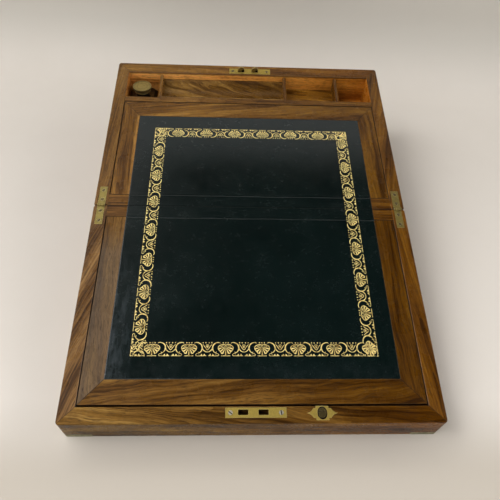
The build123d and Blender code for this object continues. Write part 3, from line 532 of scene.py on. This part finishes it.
def leather_material():
    """Dark blue-green hide: fine grain, paler creases by the fold, scuffs, a worn left edge with a painted
    sheen, and a painted sheen towards the back.
    """
    made, tree, shader, place = new_material("tooled_leather")
    x, y, _ = apart(tree, scaled(tree, place, TO_MM))
    wear = use(tree, WEAR, Vector=place)
    pebble = put(tree, "ShaderNodeTexVoronoi", {"Vector": place, "Scale": 1100.0}).outputs["Distance"]
    cloud = noise(tree, scaled(tree, place, 14.0), 1.0, 5.0, 0.6)
    colour = ramp(tree, cloud, HIDE)
    # Pale rubbed lines: at each flap's crease and, fainter, between them.
    along = noise(tree, together(tree, maths(tree, "MULTIPLY", x, 0.06), y, 0.0), 1.0, 4.0, 0.7)
    broken = fade(tree, along, 0.42, 0.68)
    wobble = maths(tree, "MULTIPLY", noise(tree, scaled(tree, place, 45.0), 1.0, 2.0), 1.2)
    off_fold = maths(tree, "ABSOLUTE", y)
    crease = line_at(tree, maths(tree, "ADD", off_fold, wobble), 15.6, 0.15, 1.1)
    crease = both(tree, crease, broken)
    creased = together(tree, maths(tree, "MULTIPLY", x, 0.035), maths(tree, "MULTIPLY", y, 0.9), 3.0)
    wrinkle = fade(tree, noise(tree, creased, 1.0, 4.0, 0.65), 0.52, 0.75)
    wrinkle = both(tree, wrinkle, fade(tree, off_fold, 13.0, 24.0, 1.0, 0.0))
    # Wear with a painted sheen on it, paler: the left edge towards the front, the front edge towards the
    # left, and the corner they meet in.
    left_wear_and_sheen = both(tree, fade(tree, x, -137.8, -136.4, 1.0, 0.0), fade(tree, y, -20.0, -60.0))
    front_wear_and_sheen = both(tree, fade(tree, y, -190.7, -189.4, 1.0, 0.0), fade(tree, x, -30.0, -90.0))
    corner = both(tree, fade(tree, x, -138.0, -108.0, 1.0, 0.0), fade(tree, y, -40.0, -150.0))
    mottle = fade(tree, noise(tree, scaled(tree, place, (90.0, 60.0, 80.0)), 1.0, 6.0, 0.6), 0.3, 0.72)
    scuff = noise(tree, scaled(tree, place, (170.0, 230.0, 200.0)), 1.0, 6.0, 0.75)
    scuff = fade(tree, scuff, 0.5, 0.72)
    wisps = noise(tree, scaled(tree, place, (170.0, 45.0, 100.0)), 1.0, 5.0, 0.65)
    wisps = fade(tree, wisps, 0.42, 0.72)
    worn = maths(tree, "MULTIPLY_ADD", scuff, 0.2, maths(tree, "MULTIPLY_ADD", wisps, 0.75, 0.12))
    rubbed = both(tree, either(tree, left_wear_and_sheen, front_wear_and_sheen), maths(tree, "MULTIPLY_ADD", scuff, 0.5, 0.5))
    worn = either(tree, both(tree, corner, worn), rubbed)
    pale = maths(tree, "MULTIPLY_ADD", crease, 0.18, maths(tree, "MULTIPLY", wrinkle, 0.08))
    pale = maths(tree, "MULTIPLY_ADD", worn, 0.6, pale)
    pale = maths(tree, "MULTIPLY_ADD", scuff, 0.012, pale)
    # Painted sheen: the hide paler towards the back.
    pale = maths(tree, "MULTIPLY_ADD", fade(tree, y, 40.0, 115.0), 0.15, pale)
    front_strip = fade(tree, y, -171.0, -186.0)
    pale = maths(tree, "MULTIPLY_ADD", front_strip, maths(tree, "MULTIPLY", mottle, 0.05), pale)
    colour = blend_colours(tree, pale, colour, (0.080, 0.096, 0.108))
    fill(tree, shader.inputs["Base Color"], colour)
    gloss = maths(tree, "MULTIPLY_ADD", mottle, 0.05, maths(tree, "MULTIPLY_ADD", cloud, 0.14, 0.14))
    gloss = maths(tree, "MULTIPLY_ADD", scuff, 0.06, gloss)
    fill(tree, shader.inputs["Roughness"], gloss)
    shader.inputs["IOR"].default_value = 1.45
    shader.inputs["Specular IOR Level"].default_value = 0.50
    bump = maths(tree, "MULTIPLY_ADD", wrinkle, 1.6, maths(tree, "MULTIPLY", pebble, 0.8))
    bump = maths(tree, "MULTIPLY_ADD", wear["Fine"], 0.15, maths(tree, "MULTIPLY_ADD", mottle, 0.7, bump))
    raise_surface(tree, shader, bump, 0.4, 0.00004)
    return made


def glass_material():
    """Near-black ink glass with greasy patches in its gloss."""
    made, tree, shader, place = new_material("ink_glass")
    wear = use(tree, WEAR, Vector=place)
    colour = blend_colours(tree, wear["Rub"], (0.004, 0.005, 0.006), (0.010, 0.011, 0.011))
    fill(tree, shader.inputs["Base Color"], colour)
    fill(tree, shader.inputs["Roughness"], maths(tree, "MULTIPLY_ADD", wear["Grime"], 0.2, 0.06))
    shader.inputs["IOR"].default_value = 1.5
    raise_surface(tree, shader, wear["Fine"], 0.1, 0.00005)
    return made


def gilt_material():
    """Gold leaf pressed into hide: uneven, with the hide's grain breaking the shine."""
    made, tree, shader, place = new_material("gilt_tooling")
    wear = use(tree, WEAR, Vector=place)
    patch = fade(tree, noise(tree, scaled(tree, place, 330.0), 1.0, 4.0, 0.65), 0.50, 0.66)
    colour = blend_colours(tree, patch, (1.0, 0.83, 0.32), (0.42, 0.27, 0.055))
    backwards = fade(tree, apart(tree, place)[1], -0.17, 0.10)
    dim = blend_colours(tree, backwards, (0.86, 0.81, 0.78), (1.0, 1.0, 1.0))
    fill(tree, shader.inputs["Base Color"], blend_colours(tree, 1.0, colour, dim, "MULTIPLY"))
    shader.inputs["Metallic"].default_value = 0.15
    fill(tree, shader.inputs["Roughness"], maths(tree, "MULTIPLY_ADD", patch, 0.2, 0.40))
    dents = noise(tree, scaled(tree, place, 900.0), 1.0, 3.0, 0.6)
    raise_surface(tree, shader, maths(tree, "ADD", dents, wear["Fine"]), 0.6, 0.00025)
    return made


# The tints left and right given here paint sheen on the left and shade on the right of a piece.
looks = {
    "left_wall": wood(
        "walnut_left_wall", WALNUT, slant=-0.06, shift=40.0, bend=8.0, fine=0.5, rings=0.25, kind="lined",
        left=(1.14, 1.12, 1.2),
    ),
    "right_wall": wood("walnut_right_wall", WALNUT, slant=-0.22, shift=131.0, bend=9.0, kind="lined"),
    "left_lid_wall": wood(
        "walnut_left_lid_wall", WALNUT, slant=-0.36, shift=910.0, bend=9.0, fine=0.5, rings=0.1,
        left=(1.24, 1.30, 2.05),
    ),
    "right_lid_wall": wood(
        "walnut_right_lid_wall", VENEER, slant=0.12, shift=407.0, bend=8.0, fine=0.45,
        right=(0.84, 0.68, 0.34), gloss_index=1.28,
    ),
    "back_wall": wood(
        "walnut_back_wall", WALNUT, cross=1.0, slant=0.03, shift=333.0, bend=9.0, fine=0.5, rings=0.2,
        left=(1.42, 1.38, 1.16), right=(1.04, 0.80, 0.28),
    ),
    "front_wall": wood(
        "walnut_front_wall", WALNUT, cross=1.0, slant=0.10, shift=2210.0, bend=16.0, rings=0.4,
        left=(1.38, 1.50, 1.75), right=(0.42, 0.29, 0.03), gloss_index=1.20,
    ),
    "fold_wall": wood("walnut_fold_wall", VENEER, cross=1.0, shift=871.0, bend=3.0, fine=0.55, rings=0.35),
    "board": wood("walnut_board", WALNUT, cross=1.0, slant=0.05, shift=1700.0, bend=20.0),
    "upper_banding": wood(
        "veneer_upper_banding", VENEER, slant=0.03, shift=520.0, bend=12.0, kind="banding",
        left=(1.54, 1.54, 1.60), right=(0.86, 0.76, 0.36),
    ),
    "lower_banding": wood(
        "veneer_lower_banding", VENEER, slant=0.05, shift=1240.0, bend=16.0, rings=0.2, kind="banding",
        left=(1.16, 1.20, 1.50), right=(0.60, 0.49, 0.18), gloss_index=1.26,
    ),
    "divider": wood("walnut_divider", VENEER, slant=0.02, shift=77.0, bend=6.0),
    "partition": wood(
        "walnut_partition", WALNUT, cross=1.0, slant=0.02, shift=610.0, bend=8.0, fine=0.5,
        right=(0.82, 0.68, 0.34),
    ),
    "tray": wood("figured_tray", TRAY, cross=1.0, slant=0.45, shift=85.0, bend=26.0, fine=0.3, rings=0.4),
    "nib": wood("figured_nib_floor", NIB, cross=1.0, slant=0.20, shift=268.0, bend=24.0, fine=0.3, rings=0.5),
    "inner": wood("inner_lining", PINE, cross=1.0, shift=1500.0, bend=6.0, rings=0.1, kind="inner"),
    "panel": wood("mahogany_panel", MAHOGANY, cross=1.0, shift=700.0),
    "leather": leather_material(),
    "gilt": gilt_material(),
    "brass": metal("brass", (0.66, 0.51, 0.19), (0.30, 0.215, 0.07), (0.90, 0.76, 0.40), 0.38, 0.5),
    "let_in": metal(
        "let_in_brass", (0.52, 0.385, 0.085), (0.30, 0.22, 0.05), (0.90, 0.76, 0.36), 0.42, 0.5, "let in"
    ),
    "slide": metal(
        "slide_brass", (0.105, 0.080, 0.028), (0.045, 0.033, 0.012), (0.60, 0.50, 0.24), 0.38, 0.6, "let in"
    ),
    "leaves": metal(
        "leaf_brass", (0.32, 0.255, 0.078), (0.16, 0.12, 0.035), (0.75, 0.62, 0.30), 0.40, 0.6, "let in"
    ),
    "screws": metal(
        "screw_brass", (0.24, 0.185, 0.07), (0.11, 0.08, 0.03), (0.85, 0.75, 0.45), 0.36, 0.6, "let in"
    ),
    "hooks": metal(
        "hook_brass", (0.34, 0.24, 0.07), (0.10, 0.06, 0.02), (0.95, 0.78, 0.36), 0.34, 0.8, "let in"
    ),
    "cap": metal(
        "cap_brass", (0.37, 0.28, 0.09), (0.20, 0.145, 0.045), (0.80, 0.66, 0.34), 0.42, 0.6, "turned"
    ),
    "corners": metal(
        "corner_brass", (0.30, 0.28, 0.17), (0.15, 0.145, 0.09), (0.50, 0.46, 0.30), 0.55, 0.7
    ),
    "steel": metal(
        "worn_steel", (0.64, 0.59, 0.47), (0.34, 0.30, 0.22), (0.9, 0.87, 0.78), 0.36, 0.45, "let in"
    ),
    "glass": glass_material(),
}
worn_by = {
    "left_wall": "base_left_wall",
    "right_wall": "base_right_wall",
    "left_lid_wall": "lid_left_wall",
    "right_lid_wall": "lid_right_wall",
    "back_wall": "base_back_wall",
    "front_wall": "lid_front_wall",
    "fold_wall": "base_fold_wall lid_fold_wall",
    "board": "lid_top_board",
    "upper_banding": "upper_flap_banding",
    "lower_banding": "lower_flap_banding",
    "divider": "divider_left divider_middle divider_right",
    "partition": "tray_partition",
    "tray": "pen_tray",
    "nib": "compartment_floor",
    "inner": "back_lining till_floor",
    "panel": "upper_flap_panel lower_flap_panel base_bottom base_ledge_back base_ledge_left"
    " base_ledge_right lid_ledge_front lid_ledge_left lid_ledge_right",
    "leather": "base_strip_leather lid_strip_leather upper_flap_leather lower_flap_leather",
    "brass": "keyhole_escutcheon inkwell_collar",
    "let_in": "lock_plate strike_plate catch_plate",
    "leaves": "base_hinge_leaf_left base_hinge_leaf_right lid_hinge_leaf_left lid_hinge_leaf_right",
    "screws": "base_hinge_screws lid_hinge_screws lock_screws",
    "slide": "catch_slide",
    "hooks": "hook_bolt",
    "cap": "inkwell_cap",
    "corners": "corner_caps",
    "steel": "strike_screws lock_case catch_spring hinge_pins",
    "glass": "inkwell_bottle",
}
for look, names in worn_by.items():
    for name in names.split():
        for slot in nodes[name].material_slots:
            slot.material = looks[look]


# ---------- the dressed leather and its gilt border, in millimetres on the rim's plane ----------
def under_rim(x, y, depth):
    """Points in metres: (x, y) on the rim's plane, moved depth down the plane's normal."""
    x, y, depth = np.broadcast_arrays(np.asarray(x, float), y, depth)
    height = FOLD + y * math.tan(SLOPE) - depth * math.cos(SLOPE)
    return np.stack([x, y + depth * math.sin(SLOPE), height], -1) * MM


def leather_depth(x, y):
    """How far the leather's face lies under the rim's plane, in mm.

    The flat face, lowered by a square law over the last 0.8 mm at each edge and a little at the fold;
    Gaussian grooves at the flaps' creases and weaker ones between; and slow waves, sums of sines.
    """
    edge = np.minimum(LEATHER_HALF - np.abs(x), np.minimum(LEATHER_BACK - y, y - LEATHER_FRONT))
    rounded = 0.22 * (1 - np.clip(edge / 0.8, 0, 1)) ** 2
    rounded = rounded + 0.06 * (1 - np.clip((np.abs(y) - 0.2) / 0.5, 0, 1)) ** 2
    bent = np.abs(y) - CREASE + 0.25 * np.sin(x / 17.0) * np.sin(x / 41.0 + 1.0)
    groove = 0.22 * np.exp(-((bent / 0.5) ** 2)) - 0.06 * np.exp(-(((np.abs(bent) - 1.3) / 0.6) ** 2))
    weak = 0.05 * np.exp(-(((y - 6.5 - 0.8 * np.sin(x / 30.0)) / 0.7) ** 2))
    weak += 0.05 * np.exp(-(((y + 5.0 - 0.7 * np.sin(x / 23.0 + 2.0)) / 0.7) ** 2))
    waves = 0.02 * np.sin(x / 13.0 + 1.3 * np.sin(y / 19.0)) * np.sin(y / 15.0 + 0.9 * np.sin(x / 31.0))
    waves += 0.03 * np.sin(x / 37.0 + 2.0) * np.sin(y / 29.0 + 1.0)
    return LEATHER_TOP + rounded + groove + weak + waves


FOLD_EDGE = 0.2  # a sheet's edge at the fold


def stations(low, high, step, fine):
    """Ordered places from low to high every step, with extra ones round each (centre, reach) in fine."""
    places = [low, high, *np.linspace(low, high, max(2, round((high - low) / step)) + 1)]
    for centre, reach in fine:
        places += list(np.linspace(centre - reach, centre + reach, 9))
    return np.unique(np.round(np.clip(places, low, high), 3))


def new_mesh(name, vertices, faces, smooth=0):
    """A mesh object at the origin from points in metres and lists of corners, its first faces smooth."""
    mesh = bpy.data.meshes.new(name)
    mesh.from_pydata(np.asarray(vertices).tolist(), [], faces)
    mesh.polygons.foreach_set("use_smooth", np.arange(len(faces)) < smooth)
    mesh.update()
    made = bpy.data.objects.new(name, mesh)
    bpy.context.scene.collection.objects.link(made)
    return made


def dressed_sheet(name, low, high):
    """A closed sheet of leather from y = low to high: a shaped face, a flat back and four edges."""
    half = LEATHER_HALF
    xs = stations(-half, half, 2.0, [(-half, 1.2), (half, 1.2)])
    sign = 1 if low > 0 else -1
    fold, crease = sign * FOLD_EDGE, sign * CREASE
    ys = stations(low, high, 2.0, [(low, 1.2), (high, 1.2), (crease, 1.6), (fold, 1.0)])
    across, along = np.meshgrid(xs, ys)
    face = under_rim(across, along, leather_depth(across, along)).reshape(-1, 3)
    back = under_rim(across, along, LEATHER_UNDER).reshape(-1, 3)
    wide, tall = len(xs), len(ys)
    index = np.arange(wide * tall).reshape(tall, wide)
    a, b, c, d = index[:-1, :-1], index[:-1, 1:], index[1:, 1:], index[1:, :-1]
    top = np.stack([a, b, c, d], -1).reshape(-1, 4)
    under = wide * tall
    faces = [top, top[:, ::-1] + under]
    for line in (index[0], index[:, -1], index[-1, ::-1], index[::-1, 0]):
        faces.append(np.stack([line[:-1] + under, line[1:] + under, line[1:], line[:-1]], -1))
    faces = np.concatenate(faces).tolist()
    made = new_mesh(name, np.concatenate([face, back]), faces, smooth=len(top))
    made.data.materials.append(looks["leather"])
    return made


def curve_through(points, steps=4):
    """A smooth line through the points: a Catmull-Rom curve, steps pieces between each two.

    Between b and c, with a before and d after, it is half of 2b + (c - a)t + (2a - 5b + 4c - d)t^2
    + (3b - a - 3c + d)t^3, for t from 0 to 1.
    """
    points = np.asarray(points, float)
    ends = np.concatenate([[2 * points[0] - points[1]], points, [2 * points[-1] - points[-2]]])
    a, b, c, d = (ends[i : len(ends) - 3 + i, None] for i in range(4))
    t = (np.arange(steps) / steps)[:, None]
    line = 0.5 * (2 * b + (c - a) * t + (2 * a - 5 * b + 4 * c - d) * t**2 + (3 * b - a - 3 * c + d) * t**3)
    return np.concatenate([line.reshape(-1, 2), points[-1:]])


LEAF_SHARE = 0.80  # of a tool's line that takes the gold


def ribbon(points, width, steps=4):
    """Four-cornered pieces along a smooth line, width mm wide, or as wide as a list says at each point."""
    line = curve_through(points, steps)
    widths = np.broadcast_to(np.asarray(width, float), len(points))
    places = np.linspace(0, len(points) - 1, len(line))
    widths = LEAF_SHARE * np.interp(places, np.arange(len(points)), widths)
    ahead = np.gradient(line, axis=0)
    ahead /= np.linalg.norm(ahead, axis=1, keepdims=True)
    side = np.stack([-ahead[:, 1], ahead[:, 0]], 1) * widths[:, None] / 2
    left, right = line + side, line - side
    return list(np.stack([right[:-1], right[1:], left[1:], left[:-1]], 1))


def wedge(middle, turn, reach, half_width):
    """A rib of the shell: from near its middle out to reach, turned by degrees from straight outwards."""
    way = np.array([math.sin(math.radians(turn)), -math.cos(math.radians(turn))])
    aside = np.array([-way[1], way[0]])
    root, tip = middle + way * 1.2, middle + way * reach
    thin, wide = aside * 0.12, aside * half_width
    return np.array([root - thin, tip - wide, tip + wide, root + thin])


UNIT_HALF = 17.5


def tool_unit():
    """Half of the roll's repeat, u along from the shell's middle (0) to 17.5 and v in from the outer edge.

    A shell of ribs fanned from its hinge, a large scroll beside it that curls in at its foot, a small
    running scroll along the outer edge, and half of a lily that stands between two shells.
    """
    made = []
    # The shell: its outline, its foot, its ribs and its hinge.
    outline = [(0, 10.9), (2.2, 11.4), (4.8, 10.9), (6.8, 9.5)]
    outline += [(7.2, 7.7), (6.3, 5.9), (4.8, 4.3), (3.5, 2.4)]
    made += ribbon(outline, 0.9)
    made += ribbon([(0, 0.55), (4.4, 0.5)], 0.7, 1)
    for turn, reach, half_width in ((0, 7.9, 0.7), (25, 7.2, 0.78), (50, 6.5, 0.78), (76, 6.7, 0.78)):
        made.append(wedge(np.array([0.0, 9.0]), turn, reach, half_width))
    made += ribbon([(0, 10.2), (0.8, 9.9), (0.9, 9.2), (0, 8.7)], 0.4)
    made += ribbon([(2.0, 10.2), (3.6, 9.9), (5.2, 9.2)], [0.5, 0.9, 0.3])
    # Ticks on the inner edge, over the shell.
    for u in (0.0, 2.4):
        made += ribbon([(u, 12.6), (u, 13.7)], 1.3, 1)
    # The large scroll.
    scroll = [(5.0, 12.7), (6.2, 13.4), (8.4, 13.3), (10.7, 12.2), (12.2, 10.1)]
    scroll += [(12.5, 7.6), (11.8, 5.3), (10.4, 3.8), (9.2, 3.6), (8.7, 4.5)]
    made += ribbon(scroll, [0.5, 0.9, 1.1, 1.3, 1.5, 1.4, 1.1, 0.9, 0.7, 0.5])
    # The running scroll along the outer edge, with two leaves on it.
    runner = [(9.9, 2.0), (8.6, 2.7), (7.4, 2.5), (6.6, 1.5), (7.2, 0.6), (10.0, 0.5), (16.8, 0.5)]
    made += ribbon(runner, [0.4, 0.5, 0.5, 0.55, 0.6, 0.6, 0.6])
    made.append(np.array([(10.9, 0.7), (12.9, 0.7), (12.4, 2.5), (11.8, 2.1)]))
    made.append(np.array([(13.7, 0.7), (16.0, 0.7), (15.2, 2.0), (14.4, 2.4)]))
    # The lily: two arcs, its curled petal and its middle.
    outer_arc = [(12.4, 8.4), (13.3, 6.6), (14.7, 5.2), (16.1, 4.4), (17.5, 4.2)]
    inner_arc = [(13.0, 11.7), (14.3, 10.3), (15.6, 8.5), (16.6, 6.9), (17.5, 6.1)]
    made += ribbon(outer_arc, [1.3, 1.2, 1.0, 0.8, 0.6])
    made += ribbon(inner_arc, [0.4, 0.7, 0.8, 0.7, 0.5])
    made += ribbon([(17.5, 8.0), (16.5, 9.8), (16.3, 10.9), (17.0, 11.3), (17.5, 10.7)], 0.5)
    made.append(np.array([(16.9, 9.9), (17.5, 8.7), (17.5, 10.4)]))
    # Ticks on the inner edge, over the lily.
    for u, drop in ((13.2, 1.1), (15.8, 1.2)):
        made += ribbon([(u, 13.7), (u + 0.3, 13.7 - drop)], [1.4, 0.7], 1)
    return made


def cut(shape, normal, limit):
    """A convex shape's part where normal . point <= limit.

    Each corner on the near side stays, and each edge that crosses the limit gives the point where it
    crosses, in the order of the outline.
    """
    past = shape @ np.asarray(normal) - limit
    after, past_after = np.roll(shape, -1, axis=0), np.roll(past, -1)
    crossing = past * past_after < 0
    share = past / np.where(crossing, past - past_after, 1.0)
    meeting = shape + (after - shape) * share[:, None]
    points = np.stack([shape, meeting], 1).reshape(-1, 2)
    return points[np.stack([past <= 0, crossing], 1).reshape(-1)]


def between(shape, axis, low, high):
    """A convex shape's part from low to high along x (axis 0) or y (axis 1), or None if nothing is left."""
    if shape[:, axis].min() >= low and shape[:, axis].max() <= high:
        return shape
    if shape[:, axis].max() < low or shape[:, axis].min() > high:
        return None
    up, down = np.eye(2)[axis], -np.eye(2)[axis]
    for normal, limit in ((up, high), (down, -low)):
        shape = cut(shape, normal, limit)
        if len(shape) < 3:
            return None
    return shape


BORDER_LEFT, BORDER_RIGHT, BORDER_BACK, BORDER_FRONT = -117.0, 120.5, 115.5, -169.6


def rolled_border():
    """Every gilt piece as an outline in x and y: each side rolled over its length, overlapping at corners."""
    half = tool_unit()
    unit = half + [(piece * (-1, 1))[::-1] for piece in half]
    # For each side: one shell's middle, the spacing of the shells, and where the side begins and ends.
    sides = {
        "front": (-96.7, 34.9, BORDER_LEFT, BORDER_RIGHT),
        "back": (-88.4, 34.6, BORDER_LEFT, BORDER_RIGHT),
        "left": (79.0, 36.6, BORDER_FRONT, BORDER_BACK),
        "right": (-162.3, 36.9, BORDER_FRONT, BORDER_BACK),
    }
    outlines = []
    for side, (first, pitch, low, high) in sides.items():
        start = first + math.floor((low - first) / pitch) * pitch
        for middle in np.arange(start, high + pitch, pitch):
            for piece in unit:
                along = middle + piece[:, 0] * pitch / (2 * UNIT_HALF)
                shape = between(np.stack([along, piece[:, 1]], 1), 0, low, high)
                if shape is None:
                    continue
                u, v = shape.T
                placed = {
                    "front": np.stack([u, BORDER_FRONT + v], 1),
                    "back": np.stack([u, BORDER_BACK - v], 1)[::-1],
                    "left": np.stack([BORDER_LEFT + v, u], 1)[::-1],
                    "right": np.stack([BORDER_RIGHT - v, u], 1),
                }[side]
                outlines.append(placed)
    return outlines


LEAF_PROUD = 0.04
SPECK = 1e-3  # square mm, too small to keep


def gilt_sheet(name, outlines, low, high, breaks):
    """The border between y = low and high as thin leaf just proud of the leather, cut at each break."""
    levels = [low, *breaks, high]
    points, faces = [], []
    for outline in outlines:
        for below, above in zip(levels[:-1], levels[1:]):
            shape = between(outline, 1, below, above)
            if shape is None:
                continue
            x, y = shape.T
            area = 0.5 * np.sum(x * np.roll(y, -1) - np.roll(x, -1) * y)
            if abs(area) < SPECK:
                continue
            if area < 0:
                shape = shape[::-1]
            faces.append(list(range(len(points), len(points) + len(shape))))
            points += shape.tolist()
    x, y = np.array(points).T
    made = new_mesh(name, under_rim(x, y, leather_depth(x, y) - LEAF_PROUD), faces)
    made.data.materials.append(looks["gilt"])
    return made


# The leaf stops just short of the fold and is cut where it bends at a flap's crease.
GILT_FOLD = 0.5
GILT_CUTS = (13.8, 14.5, 15.1, 16.0)

upper_leather = dressed_sheet("upper_leather", FOLD_EDGE, LEATHER_BACK)
lower_leather = dressed_sheet("lower_leather", LEATHER_FRONT, -FOLD_EDGE)
border = rolled_border()
upper_gilt = gilt_sheet("upper_gilding", border, GILT_FOLD, 130.0, GILT_CUTS)
lower_gilt = gilt_sheet("lower_gilding", border, -180.0, -GILT_FOLD, [-y for y in reversed(GILT_CUTS)])
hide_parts("base_strip_leather", "upper_flap_leather")
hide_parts("lid_strip_leather", "lower_flap_leather")
for piece in (upper_leather, upper_gilt):
    under_rim(0, 14.5, 1.0)
    under_rim(0, 15.1, 1.0)
    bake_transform(piece)
for piece in (lower_leather, lower_gilt):
    under_rim(0, -14.5, 1.0)
    under_rim(0, -15.1, 1.0)
    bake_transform(piece)


# The spring's two ends in y and the depth of its middle, as in the CAD.
SPRING_FAR, SPRING_NEAR, SPRING_DEPTH = -227.402, -219.391, 5.15
SPRING_ENDS_X, SPRING_BOW, SPRING_THICK, SPRING_HALF_HEIGHT = 59.8, 2.4, 0.3, 1.0


def bowed_spring():
    """The catch's spring: a strip 0.3 mm thick and 2 mm high, bowed in plan by a square law of its length."""
    share = np.linspace(0.0, 1.0, 25)
    x = SPRING_ENDS_X + SPRING_BOW * (1 - (2 * share - 1) ** 2)
    y = SPRING_FAR + (SPRING_NEAR - SPRING_FAR) * share
    thick, high = -SPRING_THICK, SPRING_HALF_HEIGHT
    sides = [(0.0, -high), (0.0, high), (thick, high), (thick, -high)]
    points = np.stack([under_rim(x + off, y, SPRING_DEPTH + drop) for off, drop in sides], 1).reshape(-1, 3)
    rings = np.arange(4 * len(share)).reshape(-1, 4)
    here, ahead = rings[:-1], rings[1:]
    faces = np.stack([here, ahead, np.roll(ahead, -1, 1), np.roll(here, -1, 1)], -1).reshape(-1, 4)
    faces = [*faces.tolist(), rings[0].tolist(), rings[-1, ::-1].tolist()]
    made = new_mesh("bowed_catch_spring", points, faces)
    made.data.materials.append(looks["steel"])
    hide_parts("catch_spring")
    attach(made, "lid")
    anchor = under_rim(61.0, SPRING_FAR, SPRING_DEPTH)
    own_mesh(made)


bowed_spring()


# ---------- floor and light ----------
def floor_material():
    """Warm white board with the faintest unevenness, paler higher up the wall, with painted shade at the bend
    and towards the writer.
    """
    made, tree, shader, place = new_material("studio_floor")
    cloud = noise(tree, scaled(tree, place, 5.0), 1.0, 4.0, 0.6)
    colour = blend_colours(tree, fade(tree, cloud, 0.3, 0.7), (0.760, 0.718, 0.668), (0.785, 0.744, 0.696))
    _, y, z = apart(tree, place)
    # Painted shade at the foot of the bend; higher up the wall the board is paler.
    colour = blend_colours(tree, fade(tree, z, -0.005, 0.07), colour, (0.66, 0.637, 0.59))
    colour = blend_colours(tree, fade(tree, z, 0.1, 0.3), colour, (0.80, 0.785, 0.76))
    # Painted shade on the floor towards the writer.
    colour = blend_colours(tree, fade(tree, y, -0.19, -0.27), colour, (0.53, 0.485, 0.425))
    fill(tree, shader.inputs["Base Color"], colour)
    shader.inputs["Roughness"].default_value = 0.75
    behind = tree.nodes.new("ShaderNodeNewGeometry").outputs["Backfacing"]
    clear = tree.nodes.new("ShaderNodeBsdfTransparent").outputs[0]
    inputs = {0: behind, 1: shader.outputs[0], 2: clear}
    seen = put(tree, "ShaderNodeMixShader", inputs).outputs[0]
    fill(tree, tree.nodes["Material Output"].inputs["Surface"], seen)
    return made


def area_light(name, place, aim, size, power, colour):
    """A square lamp at place facing aim, size metres wide."""
    data = bpy.data.lights.new(name, "AREA")
    data.shape = "SQUARE"
    data.size = size
    data.energy = power
    data.color = colour
    lamp = bpy.data.objects.new(name, data)
    bpy.context.scene.collection.objects.link(lamp)
    way = Vector(place) - Vector(aim)
    lamp.matrix_world = Matrix.Translation(place) @ way.to_track_quat("Z", "Y").to_matrix().to_4x4()
    return lamp


# The backdrop, in metres: half its width, where it bends up, and how much it is turned and sunk.
FLOOR_REACH = 4.0
BEND_Y, BEND_RADIUS, WALL_TOP = 0.325, 0.10, 0.62
FLOOR_TURN, FLOOR_SINK = 0.055, 0.0002


def sweep():
    """The backdrop: a floor from y = -4 m that bends up by a quarter circle behind the box to a wall.

    The profile in y and z is carried along x, and each y falls off by a fixed share of x.
    """
    turns = np.linspace(0, math.pi / 2, 13)
    ys = np.array([-FLOOR_REACH, 0.0, *(BEND_Y + BEND_RADIUS * np.sin(turns)), BEND_Y + BEND_RADIUS])
    zs = np.array([0.0, 0.0, *(BEND_RADIUS * (1 - np.cos(turns))), WALL_TOP])
    x, y = np.meshgrid([-FLOOR_REACH, FLOOR_REACH], ys)
    points = np.stack([x, y - FLOOR_TURN * x, np.stack([zs, zs], 1) - FLOOR_SINK], -1).reshape(-1, 3)
    left = 2 * np.arange(len(ys) - 1)
    faces = np.stack([left, left + 1, left + 3, left + 2], -1).tolist()
    made = new_mesh("backdrop", points, faces, smooth=len(faces))
    made.data.materials.append(floor_material())


sweep()
LIGHT_COLOUR = (1.0, 0.975, 0.94)
area_light("key", (-3.2, -0.15, 3.7), (0.0, 0.0, 0.05), 1.8, 32.0, LIGHT_COLOUR)


OPENING = Vector((0.22, 0.07, 0.97))  # the way to the middle of the dark opening overhead
SKY_LEVEL = 3.9
SEEN_LEVEL = 0.62


def studio_world():
    """Warm white all round, weaker in front, fading to dark in the opening that the box's top mirrors.

    Where the camera itself looks past the floor it sees the floor's own tone.
    """
    world = bpy.data.worlds.new("studio")
    bpy.context.scene.world = world
    world.use_nodes = True
    tree = world.node_tree
    way = tree.nodes.new("ShaderNodeTexCoord").outputs["Generated"]
    near = put(tree, "ShaderNodeVectorMath", {0: way}, operation="DOT_PRODUCT")
    near.inputs[1].default_value = OPENING.normalized()
    level = fade(tree, near.outputs["Value"], 0.65, 0.86, SKY_LEVEL, 0.02)
    side, ahead, _ = apart(tree, way)
    level = maths(tree, "MULTIPLY", level, fade(tree, ahead, -0.8, 0.15, 0.12, 1.0))
    level = maths(tree, "MULTIPLY", level, fade(tree, side, -1.0, 1.0, 0.93, 1.13))
    seen = tree.nodes.new("ShaderNodeLightPath").outputs["Is Camera Ray"]
    level = maths(tree, "MULTIPLY", level, maths(tree, "SUBTRACT", 1.0, seen))
    light = tree.nodes["Background"].inputs
    fill(tree, light["Strength"], maths(tree, "MULTIPLY_ADD", seen, SEEN_LEVEL, level))
    light["Color"].default_value = (*LIGHT_COLOUR, 1.0)


studio_world()
bpy.context.scene.view_settings.view_transform = "Standard"
